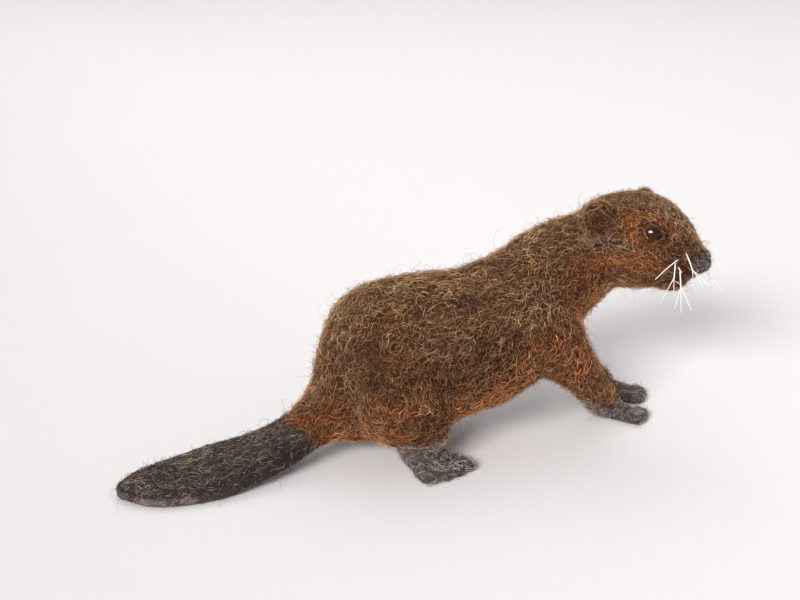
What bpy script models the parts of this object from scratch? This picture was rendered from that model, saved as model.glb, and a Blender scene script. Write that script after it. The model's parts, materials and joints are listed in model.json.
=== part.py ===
"""A needle-felted wool beaver on four feet, its head turned to its right, at its real size.

Row frame: +X forward along the trunk, +Y to the beaver's left, +Z up. The origin is on the table, under the middle of
the model. The tables below are in millimetres about a point between the feet, and main() centres the finished model.
"""

import math

import bmesh
import bpy
from mathutils import Matrix, Vector

MM = 0.001

# ---------------------------------------------------------------- driving sizes, mm
GAP = 0.32             # clearance between neighbouring pieces
LEG_ROOM = 1.0         # how far the cut round a limb stands off its own surface
VOXEL = 0.55           # cell of the remesh that fuses the raw volumes
SOFTEN = 7             # passes of smoothing on the fused body
BODY_TRIANGLES = 4600  # triangles kept on the fused body before it is parted

# spine stations: x, y, z of the centre, half width, half height above, half height below
SPINE = (
    (-38.0, -1.6, 6.2, 5.0, 3.4, 3.2),     # inside the tail
    (-33.0, -1.4, 9.0, 6.2, 5.0, 5.0),     # tail root
    (-27.2, -0.8, 12.4, 8.4, 6.8, 9.0),    # rump
    (-22.0, -0.2, 17.0, 11.6, 12.0, 14.8),
    (-16.0, 0.0, 21.2, 16.2, 17.6, 19.4),  # hips
    (-9.0, 0.0, 22.6, 18.2, 18.2, 17.8),   # loin
    (0.0, 0.0, 22.9, 18.6, 18.8, 16.2),    # belly
    (10.0, 0.0, 24.4, 17.6, 17.2, 15.0),   # ribs
    (19.0, 0.0, 28.8, 15.4, 15.8, 14.4),   # shoulders
    (26.5, 0.0, 35.0, 12.6, 13.8, 11.0),   # base of the neck
    (33.0, -0.6, 40.6, 10.9, 12.4, 10.8),  # neck
    (38.0, -2.2, 44.2, 9.8, 9.8, 9.4),   # skull base
)
SEAT_AT, SEAT_R = (-21.0, -0.4, 11.8), (9.0, 10.0, 8.2)   # the low round rump under the root of the tail

# head: pose of its own frame (x to the nose, y to the left ear, z up)
HEAD_AT = (41.6, -3.2, 47.8)
HEAD_YAW, HEAD_PITCH, HEAD_ROLL = -54.0, -3.0, -3.0
# x, half width, top, bottom
HEAD = (
    (-9.0, 6.6, 4.4, -8.4),    # nape
    (-5.0, 9.2, 7.4, -11.8),
    (1.0, 10.4, 9.8, -12.7),   # across the ears
    (7.0, 10.1, 10.4, -12.0),  # cheeks
    (12.0, 8.8, 9.2, -10.7),   # eyes
    (16.2, 7.0, 6.0, -9.4),    # muzzle
    (19.2, 5.2, 2.4, -7.8),
    (21.0, 3.4, 0.0, -5.8),    # front of the muzzle
)
CHIN_AT, CHIN_R = (13.9, 0.0, -8.5), (4.6, 3.6, 2.6)
PAD_AT, PAD_R = (17.2, 3.4, -4.7), (3.6, 3.0, 3.2)      # whisker pads, y for the left one

EYE_R = 1.6
EYE_AT = (12.0, 7.5, 4.0)      # y for the left eye
NOSE_AT, NOSE_R = (20.7, 0.0, -2.2), (2.7, 3.0, 2.7)
EAR_AT = {1: (2.22, 9.4, 5.4), -1: (-0.4, -9.5, 5.0)}      # left and right; the left one is set further forward
EAR_R = (3.3, 1.5, 3.6)        # along the rim, through the cup, up
EAR_SWING = 28.0               # degrees the cup is turned to face forward
EAR_DISH = 0.78                # share of the ear that is hollowed

# tail: x, y, z, half width, half thickness, roll in degrees (left edge raised)
TAIL = (
    (-33.0, -1.4, 8.8, 5.6, 4.6, 10.0),
    (-38.0, -1.8, 6.2, 6.8, 3.6, 8.0),
    (-45.0, -2.4, 4.2, 8.6, 2.9, 6.0),
    (-53.0, -2.9, 2.6, 10.1, 2.5, 4.0),
    (-61.0, -3.5, 1.7, 10.1, 2.2, 3.0),
    (-69.0, -3.5, 1.5, 8.4, 2.0, 2.0),
    (-73.6, -3.2, 1.4, 5.2, 1.7, 0.0),
    (-76.0, -3.0, 1.3, 2.2, 1.4, 0.0),
)

# limbs: joints (x, y, z) with a radius at each
FORE_R = (((21.6, -10.0, 28.0), 8.6), ((28.3, -9.0, 19.4), 6.5), ((35.3, -5.8, 11.6), 4.9), ((41.2, -2.4, 5.0), 4.5))
FORE_L = (((23.2, 10.0, 28.0), 8.6), ((31.6, 10.5, 19.0), 6.6), ((40.0, 10.5, 10.5), 5.0), ((46.7, 9.0, 4.6), 3.7))
HIND_R = (((-14.0, -9.5, 17.0), 11.5), ((-9.2, -12.0, 12.0), 7.4), ((-9.0, -9.5, 5.4), 5.3))
HIND_L = (((-14.0, 9.5, 17.0), 11.5), ((-9.2, 12.0, 12.0), 7.4), ((-8.4, 11.5, 5.4), 5.3))

# paws: heel (x, y), toe end (x, y), width, lean of each toe in degrees, point (along, height) of the cut above it
PAW_FR = ((41.2, 1.6), (50.8, -9.4), 8.1, (-8.0, -2.0, 4.0, 10.0), (4.5, 5.4))
PAW_FL = ((46.4, 11.0), (57.1, 1.8), 8.6, (-9.0, -3.0, 3.0, 9.0), (4.5, 5.4))
PAW_HR = ((-9.0, -5.0), (-5.6, -22.2), 14.0, (-7.0, 2.0, 11.0, 22.0), (4.5, 4.2))
PAW_HL = ((-8.5, 9.0), (0.5, 24.0), 14.0, (-18.0, -6.0, 6.0, 18.0), (4.5, 4.2))

# cuts that part the fused body: a point on each plane and the way it faces, towards the piece
HEAD_CUT = ((-4.4, 0.0, 4.0), (0.82, 0.0, 0.42))       # in the head's frame, from behind the ears to the jaw angle
NECK_CUT = ((25.5, 0.0, 34.0), (0.66, 0.0, 0.75))
TAIL_CUT = ((-33.4, -1.4, 8.8), (-0.90, 0.0, -0.30))
FOOT_CUT_LEAN = 0.36           # rise of the cut above a foot for each unit towards the toes

# finishes: base colour, roughness
FUR_BROWN = ((0.115, 0.052, 0.022), 0.95)
FUR_DARK = ((0.060, 0.028, 0.014), 0.95)
FELT_GREY = ((0.060, 0.055, 0.052), 0.95)
BEAD_BLACK = ((0.006, 0.004, 0.003), 0.08)


# ---------------------------------------------------------------- helpers
def clear_scene():
    for obj in list(bpy.data.objects):
        bpy.data.objects.remove(obj, do_unlink=True)


def collection(name):
    made = bpy.data.collections.new(name)
    bpy.context.scene.collection.children.link(made)
    return made


def spline(table, steps):
    """Catmull-Rom through the rows of a table, steps points between neighbours."""
    rows = [list(r) for r in table]
    out = []
    n = len(rows)
    for i in range(n - 1):
        p0, p1, p2, p3 = (rows[max(0, i - 1)], rows[i], rows[i + 1], rows[min(n - 1, i + 2)])
        for k in range(steps + (i == n - 2)):
            t = k / steps
            out.append([
                0.5 * (2 * b + (c - a) * t + (2 * a - 5 * b + 4 * c - d) * t * t + (3 * b - a - 3 * c + d) * t ** 3)
                for a, b, c, d in zip(p0, p1, p2, p3)
            ])
    return out


def add_mesh(name, verts, faces, group):
    mesh = bpy.data.meshes.new(name)
    mesh.from_pydata([tuple(c * MM for c in v) for v in verts], [], faces)
    mesh.validate()
    bm = bmesh.new()
    bm.from_mesh(mesh)
    bmesh.ops.recalc_face_normals(bm, faces=bm.faces[:])
    bm.to_mesh(mesh)
    bm.free()
    obj = bpy.data.objects.new(name, mesh)
    group.objects.link(obj)
    return obj


def loft(name, rings, group):
    """A closed skin through rings of equal length, with a fan at each end."""
    count = len(rings[0])
    verts = [v for ring in rings for v in ring]
    faces = []
    for i in range(len(rings) - 1):
        for k in range(count):
            a, b = i * count + k, i * count + (k + 1) % count
            faces.append((a, b, b + count, a + count))
    for ring_index in (0, len(rings) - 1):
        ring = rings[ring_index]
        centre = sum((Vector(v) for v in ring), Vector()) / count
        verts.append(centre)
        c = len(verts) - 1
        base = ring_index * count
        faces += [(base + k, base + (k + 1) % count, c) for k in range(count)]
    return add_mesh(name, verts, faces, group)


def section(centre, forward, side, half_w, up, down, power=2.0, count=32):
    """One oval ring round centre, in the plane across forward; side is the sideways direction."""
    top = forward.cross(side).normalized()
    ring = []
    for k in range(count):
        a = 2 * math.pi * k / count
        c, s = math.cos(a), math.sin(a)
        x = math.copysign(abs(c) ** (2 / power), c) * half_w
        z = math.copysign(abs(s) ** (2 / power), s) * (up if s > 0 else down)
        ring.append(centre + side * x + top * z)
    return ring


def swept(name, rows, group, power=2.0, steps=5, reach=2):
    """A loft along rows of (x, y, z, half width, up, down, roll in degrees)."""
    points = spline(rows, steps)
    rings = []
    for i, row in enumerate(points):
        # a tangent taken over a long stretch keeps wide rings from crossing at a bend
        a, b = points[max(0, i - reach)], points[min(len(points) - 1, i + reach)]
        forward = (Vector(b[:3]) - Vector(a[:3])).normalized()
        side = Vector((0, 0, 1)).cross(forward).normalized()
        side = Matrix.Rotation(math.radians(row[6]), 3, forward) @ side
        rings.append(section(Vector(row[:3]), forward, side, row[3], row[4], row[5], power))
    return loft(name, rings, group)


def ellipsoid(name, centre, radii, group, turn=None, rings=16, segments=24):
    bm = bmesh.new()
    bmesh.ops.create_uvsphere(bm, u_segments=segments, v_segments=rings, radius=1.0)
    matrix = Matrix.Diagonal((*[r * MM for r in radii], 1.0))
    if turn is not None:
        matrix = turn.to_4x4() @ matrix
    bmesh.ops.transform(bm, matrix=Matrix.Translation(Vector(centre) * MM) @ matrix, verts=bm.verts[:])
    mesh = bpy.data.meshes.new(name)
    bm.to_mesh(mesh)
    bm.free()
    obj = bpy.data.objects.new(name, mesh)
    group.objects.link(obj)
    return obj


def limb(name, joints, group):
    rows = [(*p, r, r, r) for p, r in joints]
    points = spline(rows, 6)
    rings = []
    for i, row in enumerate(points):
        a, b = points[max(0, i - 1)], points[min(len(points) - 1, i + 1)]
        forward = (Vector(b[:3]) - Vector(a[:3])).normalized()
        side = forward.orthogonal().normalized()
        if rings:  # keep the rings from twisting
            side = (last_side - forward * last_side.dot(forward)).normalized()
        last_side = side
        rings.append(section(Vector(row[:3]), forward, side, row[3], row[4], row[5], count=24))
    made = loft(name, rings, group)
    ellipsoid(name + "_end", rows[0][:3], (rows[0][3],) * 3, group)
    ellipsoid(name + "_tip", rows[-1][:3], (rows[-1][3],) * 3, group)
    return made


def limb_space(name, joints, grow, group):
    """The convex space round the balls of a limb, used to part it from the trunk."""
    bm = bmesh.new()
    for p, r in joints:
        made = bmesh.ops.create_uvsphere(bm, u_segments=10, v_segments=6, radius=(r + grow) * MM)
        bmesh.ops.translate(bm, vec=Vector(p) * MM, verts=made["verts"])
    points = [v.co.copy() for v in bm.verts]
    bm.clear()
    for p in points:
        bm.verts.new(p)
    made = bmesh.ops.convex_hull(bm, input=bm.verts[:])
    spare = {g for key in ("geom_interior", "geom_unused") for g in made[key] if isinstance(g, bmesh.types.BMVert)}
    bmesh.ops.delete(bm, geom=list(spare), context="VERTS")
    bmesh.ops.recalc_face_normals(bm, faces=bm.faces[:])
    mesh = bpy.data.meshes.new(name)
    bm.to_mesh(mesh)
    bm.free()
    obj = bpy.data.objects.new(name, mesh)
    group.objects.link(obj)
    return obj


def paw(name, spec, group):
    (hx, hy), (tx, ty), width, leans = spec[:4]
    heel, tip = Vector((hx, hy, 0.0)), Vector((tx, ty, 0.0))
    forward = (tip - heel).normalized()
    length = (tip - heel).length
    turn = Vector((1, 0, 0)).rotation_difference(forward).to_matrix()
    side = turn @ Vector((0, 1, 0))
    ellipsoid(name + "_pad", heel + forward * length * 0.40 + Vector((0, 0, 1.4)), (length * 0.42, width * 0.40, 2.6), group, turn)
    for k, lean in enumerate(leans):
        share = (k - (len(leans) - 1) / 2) / max(1, len(leans) - 1) * 2
        own = Matrix.Rotation(math.radians(lean), 3, "Z") @ turn
        along = own @ Vector((1, 0, 0))
        reach = 1.0 - 0.08 * abs(share)
        at = heel + side * share * width * 0.24 + forward * length * 0.36 + along * length * 0.32 * reach + Vector((0, 0, 1.2))
        ellipsoid(f"{name}_toe{k}", at, (length * 0.32, width * 0.165, 2.0), group, own)


def head_matrix():
    yaw = Matrix.Rotation(math.radians(HEAD_YAW), 4, "Z")
    pitch = Matrix.Rotation(math.radians(-HEAD_PITCH), 4, "Y")
    roll = Matrix.Rotation(math.radians(HEAD_ROLL), 4, "X")
    return Matrix.Translation(Vector(HEAD_AT)) @ yaw @ pitch @ roll


def head_volume(group):
    m = head_matrix()
    rings = []
    for x, w, top, bottom in spline(HEAD, 5):
        mid = 0.5 * (top + bottom)
        half = 0.5 * (top - bottom)
        ring = section(Vector((x, 0, mid)), Vector((1, 0, 0)), Vector((0, 1, 0)), w, half, half, 2.15)
        rings.append([m @ v for v in ring])
    return loft("head_raw", rings, group)


def fuse(objects, name, group, voxel, smooth):
    """Joins raw volumes into one closed skin: remesh, soften, thin out."""
    bm = bmesh.new()
    for obj in objects:
        bm.from_mesh(obj.data)
    mesh = bpy.data.meshes.new(name)
    bm.to_mesh(mesh)
    bm.free()
    whole = bpy.data.objects.new(name, mesh)
    group.objects.link(whole)
    r = whole.modifiers.new("fuse", "REMESH")
    r.mode, r.voxel_size, r.use_smooth_shade = "VOXEL", voxel * MM, True
    s = whole.modifiers.new("soften", "SMOOTH")
    s.factor, s.iterations = 0.5, smooth
    return whole


def bake(obj):
    graph = bpy.context.evaluated_depsgraph_get()
    mesh = bpy.data.meshes.new_from_object(obj.evaluated_get(graph), depsgraph=graph)
    obj.modifiers.clear()
    obj.data = mesh
    return obj


def decimate(obj, triangles):
    bm = bmesh.new()
    bm.from_mesh(obj.data)
    bmesh.ops.triangulate(bm, faces=bm.faces[:])
    bm.to_mesh(obj.data)
    n = len(bm.faces)
    bm.free()
    d = obj.modifiers.new("thin", "DECIMATE")
    d.ratio = triangles / n
    return bake(obj)


def raw_volumes(raw):
    """The overlapping volumes that the body is fused from."""
    swept("core", [(*r, 0.0) for r in SPINE], raw, power=2.1, reach=9)
    ellipsoid("seat", SEAT_AT, SEAT_R, raw)
    head_volume(raw)
    m = head_matrix()
    ellipsoid("chin", m @ Vector(CHIN_AT), CHIN_R, raw, m.to_3x3())
    for sign in (1, -1):
        at = Vector((PAD_AT[0], sign * PAD_AT[1], PAD_AT[2]))
        ellipsoid("pad", m @ at, PAD_R, raw, m.to_3x3())
    limb("fore_r", FORE_R, raw)
    limb("fore_l", FORE_L, raw)
    limb("hind_r", HIND_R, raw)
    limb("hind_l", HIND_L, raw)
    swept("tail_raw", [(x, y, z, w, t, t, -r) for x, y, z, w, t, r in TAIL], raw, power=2.6)
    for name, spec in (("paw_fr", PAW_FR), ("paw_fl", PAW_FL), ("paw_hr", PAW_HR), ("paw_hl", PAW_HL)):
        paw(name, spec, raw)


def block(name, at, facing, half, group, offset=0.0, across=None, deep=60.0):
    """A box whose back face lies on the plane through at, moved back by offset; it reaches deep the way it faces.

    half is half the size of that face, or a pair of them (along across, and the other way).
    """
    n = Vector(facing).normalized()
    u = Vector(across) if across else n.orthogonal()
    u = (u - n * u.dot(n)).normalized()
    v = n.cross(u)
    hu, hv = half if isinstance(half, tuple) else (half, half)
    matrix = Matrix((u, v, n)).transposed().to_4x4()
    matrix.translation = Vector(at) * MM + n * (deep / 2 - offset) * MM
    bm = bmesh.new()
    bmesh.ops.create_cube(bm, size=2.0)
    scale = Matrix.Diagonal(((hu + offset) * MM, (hv + offset) * MM, deep / 2 * MM, 1.0))
    bmesh.ops.transform(bm, matrix=matrix @ scale, verts=bm.verts[:])
    mesh = bpy.data.meshes.new(name)
    bm.to_mesh(mesh)
    bm.free()
    obj = bpy.data.objects.new(name, mesh)
    group.objects.link(obj)
    return obj


def boolean(obj, cutter, operation):
    m = obj.modifiers.new(operation.lower(), "BOOLEAN")
    m.operation, m.object, m.solver = operation, cutter, "EXACT"
    return bake(obj)


def copy_of(obj, name, group):
    new = bpy.data.objects.new(name, obj.data.copy())
    group.objects.link(new)
    return new


def part_off(rest, name, make_cutter, group):
    """Takes a piece off rest, and leaves GAP between the two. make_cutter(grow) builds the cutter."""
    piece = copy_of(rest, name, group)
    boolean(piece, make_cutter(0.0), "INTERSECT")
    boolean(rest, make_cutter(GAP), "DIFFERENCE")
    keep_largest(piece)
    keep_largest(rest)
    return piece


def keep_largest(obj):
    """Drops any crumbs that a cut leaves beside the piece."""
    bm = bmesh.new()
    bm.from_mesh(obj.data)
    bm.verts.ensure_lookup_table()
    seen, islands = set(), []
    for v in bm.verts:
        if v.index in seen:
            continue
        stack, island = [v], []
        seen.add(v.index)
        while stack:
            w = stack.pop()
            island.append(w)
            for e in w.link_edges:
                o = e.other_vert(w)
                if o.index not in seen:
                    seen.add(o.index)
                    stack.append(o)
        islands.append(island)
    islands.sort(key=len)
    for island in islands[:-1]:
        bmesh.ops.delete(bm, geom=island, context="VERTS")
    bm.to_mesh(obj.data)
    bm.free()


def tidy(obj):
    """Welds what the cuts left almost touching and makes every face a triangle."""
    bm = bmesh.new()
    bm.from_mesh(obj.data)
    bmesh.ops.remove_doubles(bm, verts=bm.verts[:], dist=0.00002)
    bmesh.ops.dissolve_degenerate(bm, edges=bm.edges[:], dist=0.00002)
    bmesh.ops.triangulate(bm, faces=bm.faces[:])
    bmesh.ops.recalc_face_normals(bm, faces=bm.faces[:])
    bm.to_mesh(obj.data)
    bm.free()


def ear(side, name, whole, m, parts, cutters):
    """A small round cup of felt on the side of the head, its hollow facing out and forward."""
    swing = Matrix.Rotation(math.radians(-side * EAR_SWING), 3, "Z")
    turn = m.to_3x3() @ swing
    at = Vector(EAR_AT[side])
    obj = ellipsoid(name, m @ at, EAR_R, parts, turn, rings=10, segments=16)
    out = swing @ Vector((0, side, 0))
    dish = ellipsoid(name + "_dish", m @ (at + out * EAR_R[1] * 0.95), tuple(r * EAR_DISH for r in (EAR_R[0], EAR_R[1] * 1.1, EAR_R[2])), cutters, turn, rings=8, segments=14)
    boolean(obj, dish, "DIFFERENCE")
    boolean(obj, grown(whole, name + "_root", GAP, cutters), "DIFFERENCE")
    keep_largest(obj)
    return obj


def grown(obj, name, by, group):
    """The same skin pushed out along its normals."""
    new = copy_of(obj, name, group)
    d = new.modifiers.new("grow", "DISPLACE")
    d.strength, d.mid_level = by * MM, 0.0
    return bake(new)


def finish(obj, name, look):
    colour, roughness = look
    material = bpy.data.materials.new(name)
    material.use_nodes = True
    shader = material.node_tree.nodes["Principled BSDF"]
    shader.inputs["Base Color"].default_value = (*colour, 1.0)
    shader.inputs["Roughness"].default_value = roughness
    shader.inputs["Metallic"].default_value = 0.0
    obj.data.materials.clear()
    obj.data.materials.append(material)
    for poly in obj.data.polygons:
        poly.use_smooth = True


def centre_on_table(objects):
    """Moves the model so that the middle of its footprint is the origin."""
    corners = [v.co for o in objects for v in o.data.vertices]
    low = Vector([min(c[k] for c in corners) for k in range(3)])
    high = Vector([max(c[k] for c in corners) for k in range(3)])
    shift = Vector((-(low.x + high.x) / 2, -(low.y + high.y) / 2, -low.z))
    for o in objects:
        o.data.transform(Matrix.Translation(shift))
    return shift


def foot_block(spec, wide, cutters, grow):
    """The space of one foot, below a slanting cut that is lowest behind the heel."""
    (hx, hy), (tx, ty) = spec[0], spec[1]
    along, height = spec[4]
    heel, tip = Vector((hx, hy, 0)), Vector((tx, ty, 0))
    forward = (tip - heel).normalized()
    facing = forward * FOOT_CUT_LEAN - Vector((0, 0, 1))
    at = heel + forward * along + Vector((0, 0, height))
    return block("foot_block", at, facing, (20.0, wide), cutters, grow, across=forward, deep=20.0)


def main():
    clear_scene()
    parts = collection("felted_beaver")
    raw = collection("raw_volumes")
    cutters = collection("cutters")
    raw_volumes(raw)
    whole = fuse(list(raw.objects), "whole", raw, VOXEL, SOFTEN)
    bake(whole)
    decimate(whole, BODY_TRIANGLES)
    boolean(whole, block("table", (0, 0, 0), (0, 0, 1), 120.0, cutters), "INTERSECT")
    keep_largest(whole)

    m = head_matrix()
    rest = copy_of(whole, "trunk", parts)
    pieces = {}

    def take(name, make):
        pieces[name] = part_off(rest, name, make, parts)

    take("tail", lambda g: block("tail_block", *TAIL_CUT, 40.0, cutters, g))
    at, facing = m @ Vector(HEAD_CUT[0]), m.to_3x3() @ Vector(HEAD_CUT[1])
    take("head", lambda g: block("head_block", at, facing, 40.0, cutters, g))
    take("neck", lambda g: block("neck_block", *NECK_CUT, 40.0, cutters, g))
    take("foot_front_right", lambda g: foot_block(PAW_FR, 4.4, cutters, g))
    take("foot_front_left", lambda g: foot_block(PAW_FL, 4.4, cutters, g))
    take("foot_hind_right", lambda g: foot_block(PAW_HR, 9.0, cutters, g))
    take("foot_hind_left", lambda g: foot_block(PAW_HL, 9.0, cutters, g))
    for name, joints in (("leg_front_right", FORE_R), ("leg_front_left", FORE_L), ("leg_hind_right", HIND_R), ("leg_hind_left", HIND_L)):
        take(name, lambda g, j=joints: limb_space("leg_space", j, LEG_ROOM + g, cutters))
    pieces["trunk"] = rest

    head = pieces["head"]
    for side, word in ((1, "left"), (-1, "right")):
        at = m @ Vector((EYE_AT[0], side * EYE_AT[1], EYE_AT[2]))
        pieces["eye_" + word] = ellipsoid("eye_" + word, at, (EYE_R,) * 3, parts, rings=9, segments=14)
        boolean(head, ellipsoid("socket", at, (EYE_R + GAP,) * 3, cutters, rings=9, segments=14), "DIFFERENCE")
        pieces["ear_" + word] = ear(side, "ear_" + word, whole, m, parts, cutters)
    turn = m.to_3x3()
    pieces["nose"] = ellipsoid("nose", m @ Vector(NOSE_AT), NOSE_R, parts, turn, rings=9, segments=16)
    boolean(head, ellipsoid("nose_bed", m @ Vector(NOSE_AT), tuple(r + GAP for r in NOSE_R), cutters, turn, rings=9, segments=16), "DIFFERENCE")
    keep_largest(head)

    looks = {"eye": BEAD_BLACK, "nose": FELT_GREY, "tail": FELT_GREY, "foot": FELT_GREY, "ear": FUR_DARK}
    for name, obj in pieces.items():
        tidy(obj)
        finish(obj, name + "_felt" if not name.startswith("eye") else name + "_bead", looks.get(name.split("_")[0], FUR_BROWN))
    centre_on_table(list(pieces.values()))
    for obj in list(raw.objects) + list(cutters.objects):
        bpy.data.objects.remove(obj, do_unlink=True)


main()
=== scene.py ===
"""Looks of a needle-felted wool beaver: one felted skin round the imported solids, a mat of curly wool fibres laid over
it, glass bead eyes and bristle whiskers, on a pale floor in soft light.

Lengths below are in millimetres about the point between the feet that the solids were drawn about; OFF carries them
to the row frame, and MM to metres.
"""
import json
import math

import bmesh
import bpy
import numpy as np
from mathutils import Matrix, Vector
from mathutils.bvhtree import BVHTree

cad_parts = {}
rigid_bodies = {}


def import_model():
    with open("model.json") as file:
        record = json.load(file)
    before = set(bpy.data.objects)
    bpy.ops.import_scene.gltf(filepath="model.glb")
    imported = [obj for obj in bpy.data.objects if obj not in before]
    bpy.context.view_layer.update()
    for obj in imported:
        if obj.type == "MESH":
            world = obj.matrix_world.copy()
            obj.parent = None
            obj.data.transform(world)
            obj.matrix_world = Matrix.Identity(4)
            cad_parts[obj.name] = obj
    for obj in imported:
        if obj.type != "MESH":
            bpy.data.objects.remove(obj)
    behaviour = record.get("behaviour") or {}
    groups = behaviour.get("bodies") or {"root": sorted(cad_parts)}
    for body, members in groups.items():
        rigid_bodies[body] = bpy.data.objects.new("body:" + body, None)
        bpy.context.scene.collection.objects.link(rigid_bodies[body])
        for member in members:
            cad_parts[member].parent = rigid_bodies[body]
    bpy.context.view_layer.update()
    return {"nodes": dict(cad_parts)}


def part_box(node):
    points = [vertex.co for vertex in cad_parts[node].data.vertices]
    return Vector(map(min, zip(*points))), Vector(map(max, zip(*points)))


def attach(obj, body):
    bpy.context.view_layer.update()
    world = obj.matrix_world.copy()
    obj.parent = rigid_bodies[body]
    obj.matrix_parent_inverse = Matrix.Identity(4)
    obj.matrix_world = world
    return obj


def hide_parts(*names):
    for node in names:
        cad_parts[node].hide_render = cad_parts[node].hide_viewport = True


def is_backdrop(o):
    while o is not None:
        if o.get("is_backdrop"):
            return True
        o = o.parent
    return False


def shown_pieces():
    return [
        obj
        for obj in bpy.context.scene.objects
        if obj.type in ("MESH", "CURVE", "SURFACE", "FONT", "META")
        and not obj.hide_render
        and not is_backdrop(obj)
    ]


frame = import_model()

MM = 0.001
RNG = np.random.default_rng(20)

# ---------------------------------------------------------------- where things are
HEAD_AT = np.array((41.6, -3.2, 47.8))
HEAD_YAW, HEAD_PITCH, HEAD_ROLL = -54.0, -3.0, -3.0
EYE_AT, EYE_R = np.array((12.0, 7.5, 4.0)), 1.6      # y for the left eye, head frame
NOSE_AT = np.array((20.7, 0.0, -2.2))
EARS = {1: np.array((2.22, 9.4, 5.4)), -1: np.array((-0.4, -9.5, 5.0))}   # left and right, head frame
PAWS = {                                             # heel, toe end, width
    "foot_front_right": ((41.2, 1.6), (50.8, -9.4), 8.1),
    "foot_front_left": ((46.4, 11.0), (57.1, 1.8), 8.6),
    "foot_hind_right": ((-9.0, -5.0), (-5.6, -22.2), 14.0),
    "foot_hind_left": ((-8.5, 9.0), (0.5, 24.0), 14.0),
}
FLESH = sorted(n for n in frame["nodes"] if not n.startswith("eye_"))

HEAD_R = np.array(
    Matrix.Rotation(math.radians(HEAD_YAW), 3, "Z")
    @ Matrix.Rotation(math.radians(-HEAD_PITCH), 3, "Y")
    @ Matrix.Rotation(math.radians(HEAD_ROLL), 3, "X")
)


def box_centre(name):
    lo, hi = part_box(name)
    return np.array((Vector(lo) + Vector(hi)) / 2)


def from_head(p):
    """Head frame to design frame."""
    return np.asarray(p, float) @ HEAD_R.T + HEAD_AT


def to_head(p):
    return (np.asarray(p, float) - HEAD_AT) @ HEAD_R


def from_ear(h):
    """Head-frame points about the nearer ear, as if it were the left one."""
    left = h[:, 1:2] > 0
    return np.where(left, h - EARS[1], h - EARS[-1]) * np.where(left, 1.0, (1.0, -1.0, 1.0))


def turned(v):
    """A direction from the head's frame."""
    return np.asarray(v, float) @ HEAD_R.T


OFF = box_centre("eye_right") / MM - from_head(EYE_AT * (1, -1, 1))
EYES = {side: box_centre("eye_" + side) / MM - OFF for side in ("left", "right")}


# ---------------------------------------------------------------- small tools
def unit(v):
    return v / np.maximum(np.linalg.norm(v, axis=-1, keepdims=True), 1e-9)


def ramp(x, a, b):
    """0 at a, 1 at b, smooth between them."""
    t = np.clip((x - a) / (b - a), 0.0, 1.0)
    return t * t * (3 - 2 * t)


def cell_value(i, j, k, seed):
    h = (i * 73856093) ^ (j * 19349663) ^ (k * 83492791) ^ (seed * 49979687)
    h = h & 0xFFFFFFFF
    h = ((h ^ (h >> 15)) * 739982445) & 0xFFFFFFFF
    h = ((h ^ (h >> 12)) * 695872825) & 0xFFFFFFFF
    return ((h ^ (h >> 15)) & 0xFFFFFF) / float(0xFFFFFF)


def noise(p, cell, seed=0):
    """Smooth noise from 0 to 1 with one bump to each cell of that size in millimetres."""
    q = np.asarray(p, float) / cell + 71.3
    f = np.floor(q).astype(np.int64)
    t = q - f
    t = t * t * (3 - 2 * t)
    out = 0.0
    for a in (0, 1):
        for b in (0, 1):
            for c in (0, 1):
                w = (
                    (t[:, 0] if a else 1 - t[:, 0])
                    * (t[:, 1] if b else 1 - t[:, 1])
                    * (t[:, 2] if c else 1 - t[:, 2])
                )
                out = out + w * cell_value(f[:, 0] + a, f[:, 1] + b, f[:, 2] + c, seed)
    return out


def rough(p, cell, seed=0):
    return 0.62 * noise(p, cell, seed) + 0.26 * noise(p, cell * 0.5, seed + 7) + 0.12 * noise(p, cell * 0.25, seed + 13)


def linear(rgb):
    c = np.asarray(rgb, float) / 255.0
    return np.where(c <= 0.04045, c / 12.92, ((c + 0.055) / 1.055) ** 2.4)


def blob(p, at, radii, soft=0.5):
    """1 inside an ellipsoid, falling to 0 over soft of its radius outside."""
    d = np.sqrt((((p - np.asarray(at)) / np.asarray(radii)) ** 2).sum(-1))
    return 1 - ramp(d, 1 - soft * 0.5, 1 + soft)


# ---------------------------------------------------------------- wool colours and where they lie
WOOLS = ("dark", "brown", "tan", "beige", "ochre", "rust", "char", "grey", "pale")
WOOL_RGB = {
    "dark": (68, 29, 11),
    "brown": (124, 76, 45),
    "tan": (192, 154, 105),
    "beige": (228, 205, 163),
    "ochre": (200, 117, 42),
    "rust": (158, 66, 30),
    "char": (57, 49, 51),
    "grey": (132, 122, 123),
    "pale": (222, 214, 208),
}
MIXES = {  # shares of the wools, in the order above
    "back": (0.20, 0.34, 0.28, 0.16, 0.01, 0.01, 0, 0, 0),
    "side": (0.28, 0.38, 0.20, 0.07, 0.04, 0.03, 0, 0, 0),
    "under": (0.12, 0.28, 0.11, 0.03, 0.33, 0.13, 0, 0, 0),
    "cheek": (0.05, 0.20, 0.15, 0.06, 0.50, 0.04, 0, 0, 0),
    "rust": (0.18, 0.28, 0.08, 0.02, 0.12, 0.32, 0, 0, 0),
    "grizzle": (0.22, 0.24, 0.16, 0.08, 0.01, 0, 0.05, 0.16, 0.08),
    "shade": (0.66, 0.26, 0.06, 0.01, 0, 0.01, 0, 0, 0),
    "charcoal": (0.02, 0.01, 0.06, 0.05, 0, 0, 0.63, 0.18, 0.05),
    "worn": (0, 0, 0.04, 0.08, 0, 0, 0.24, 0.32, 0.32),
    "paw": (0.03, 0.02, 0.03, 0.05, 0, 0, 0.28, 0.34, 0.25),
    "nose": (0, 0, 0, 0, 0, 0, 0.44, 0.28, 0.28),
    "sole": (0.0, 0, 0, 0, 0, 0, 0.86, 0.14, 0),
}


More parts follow.
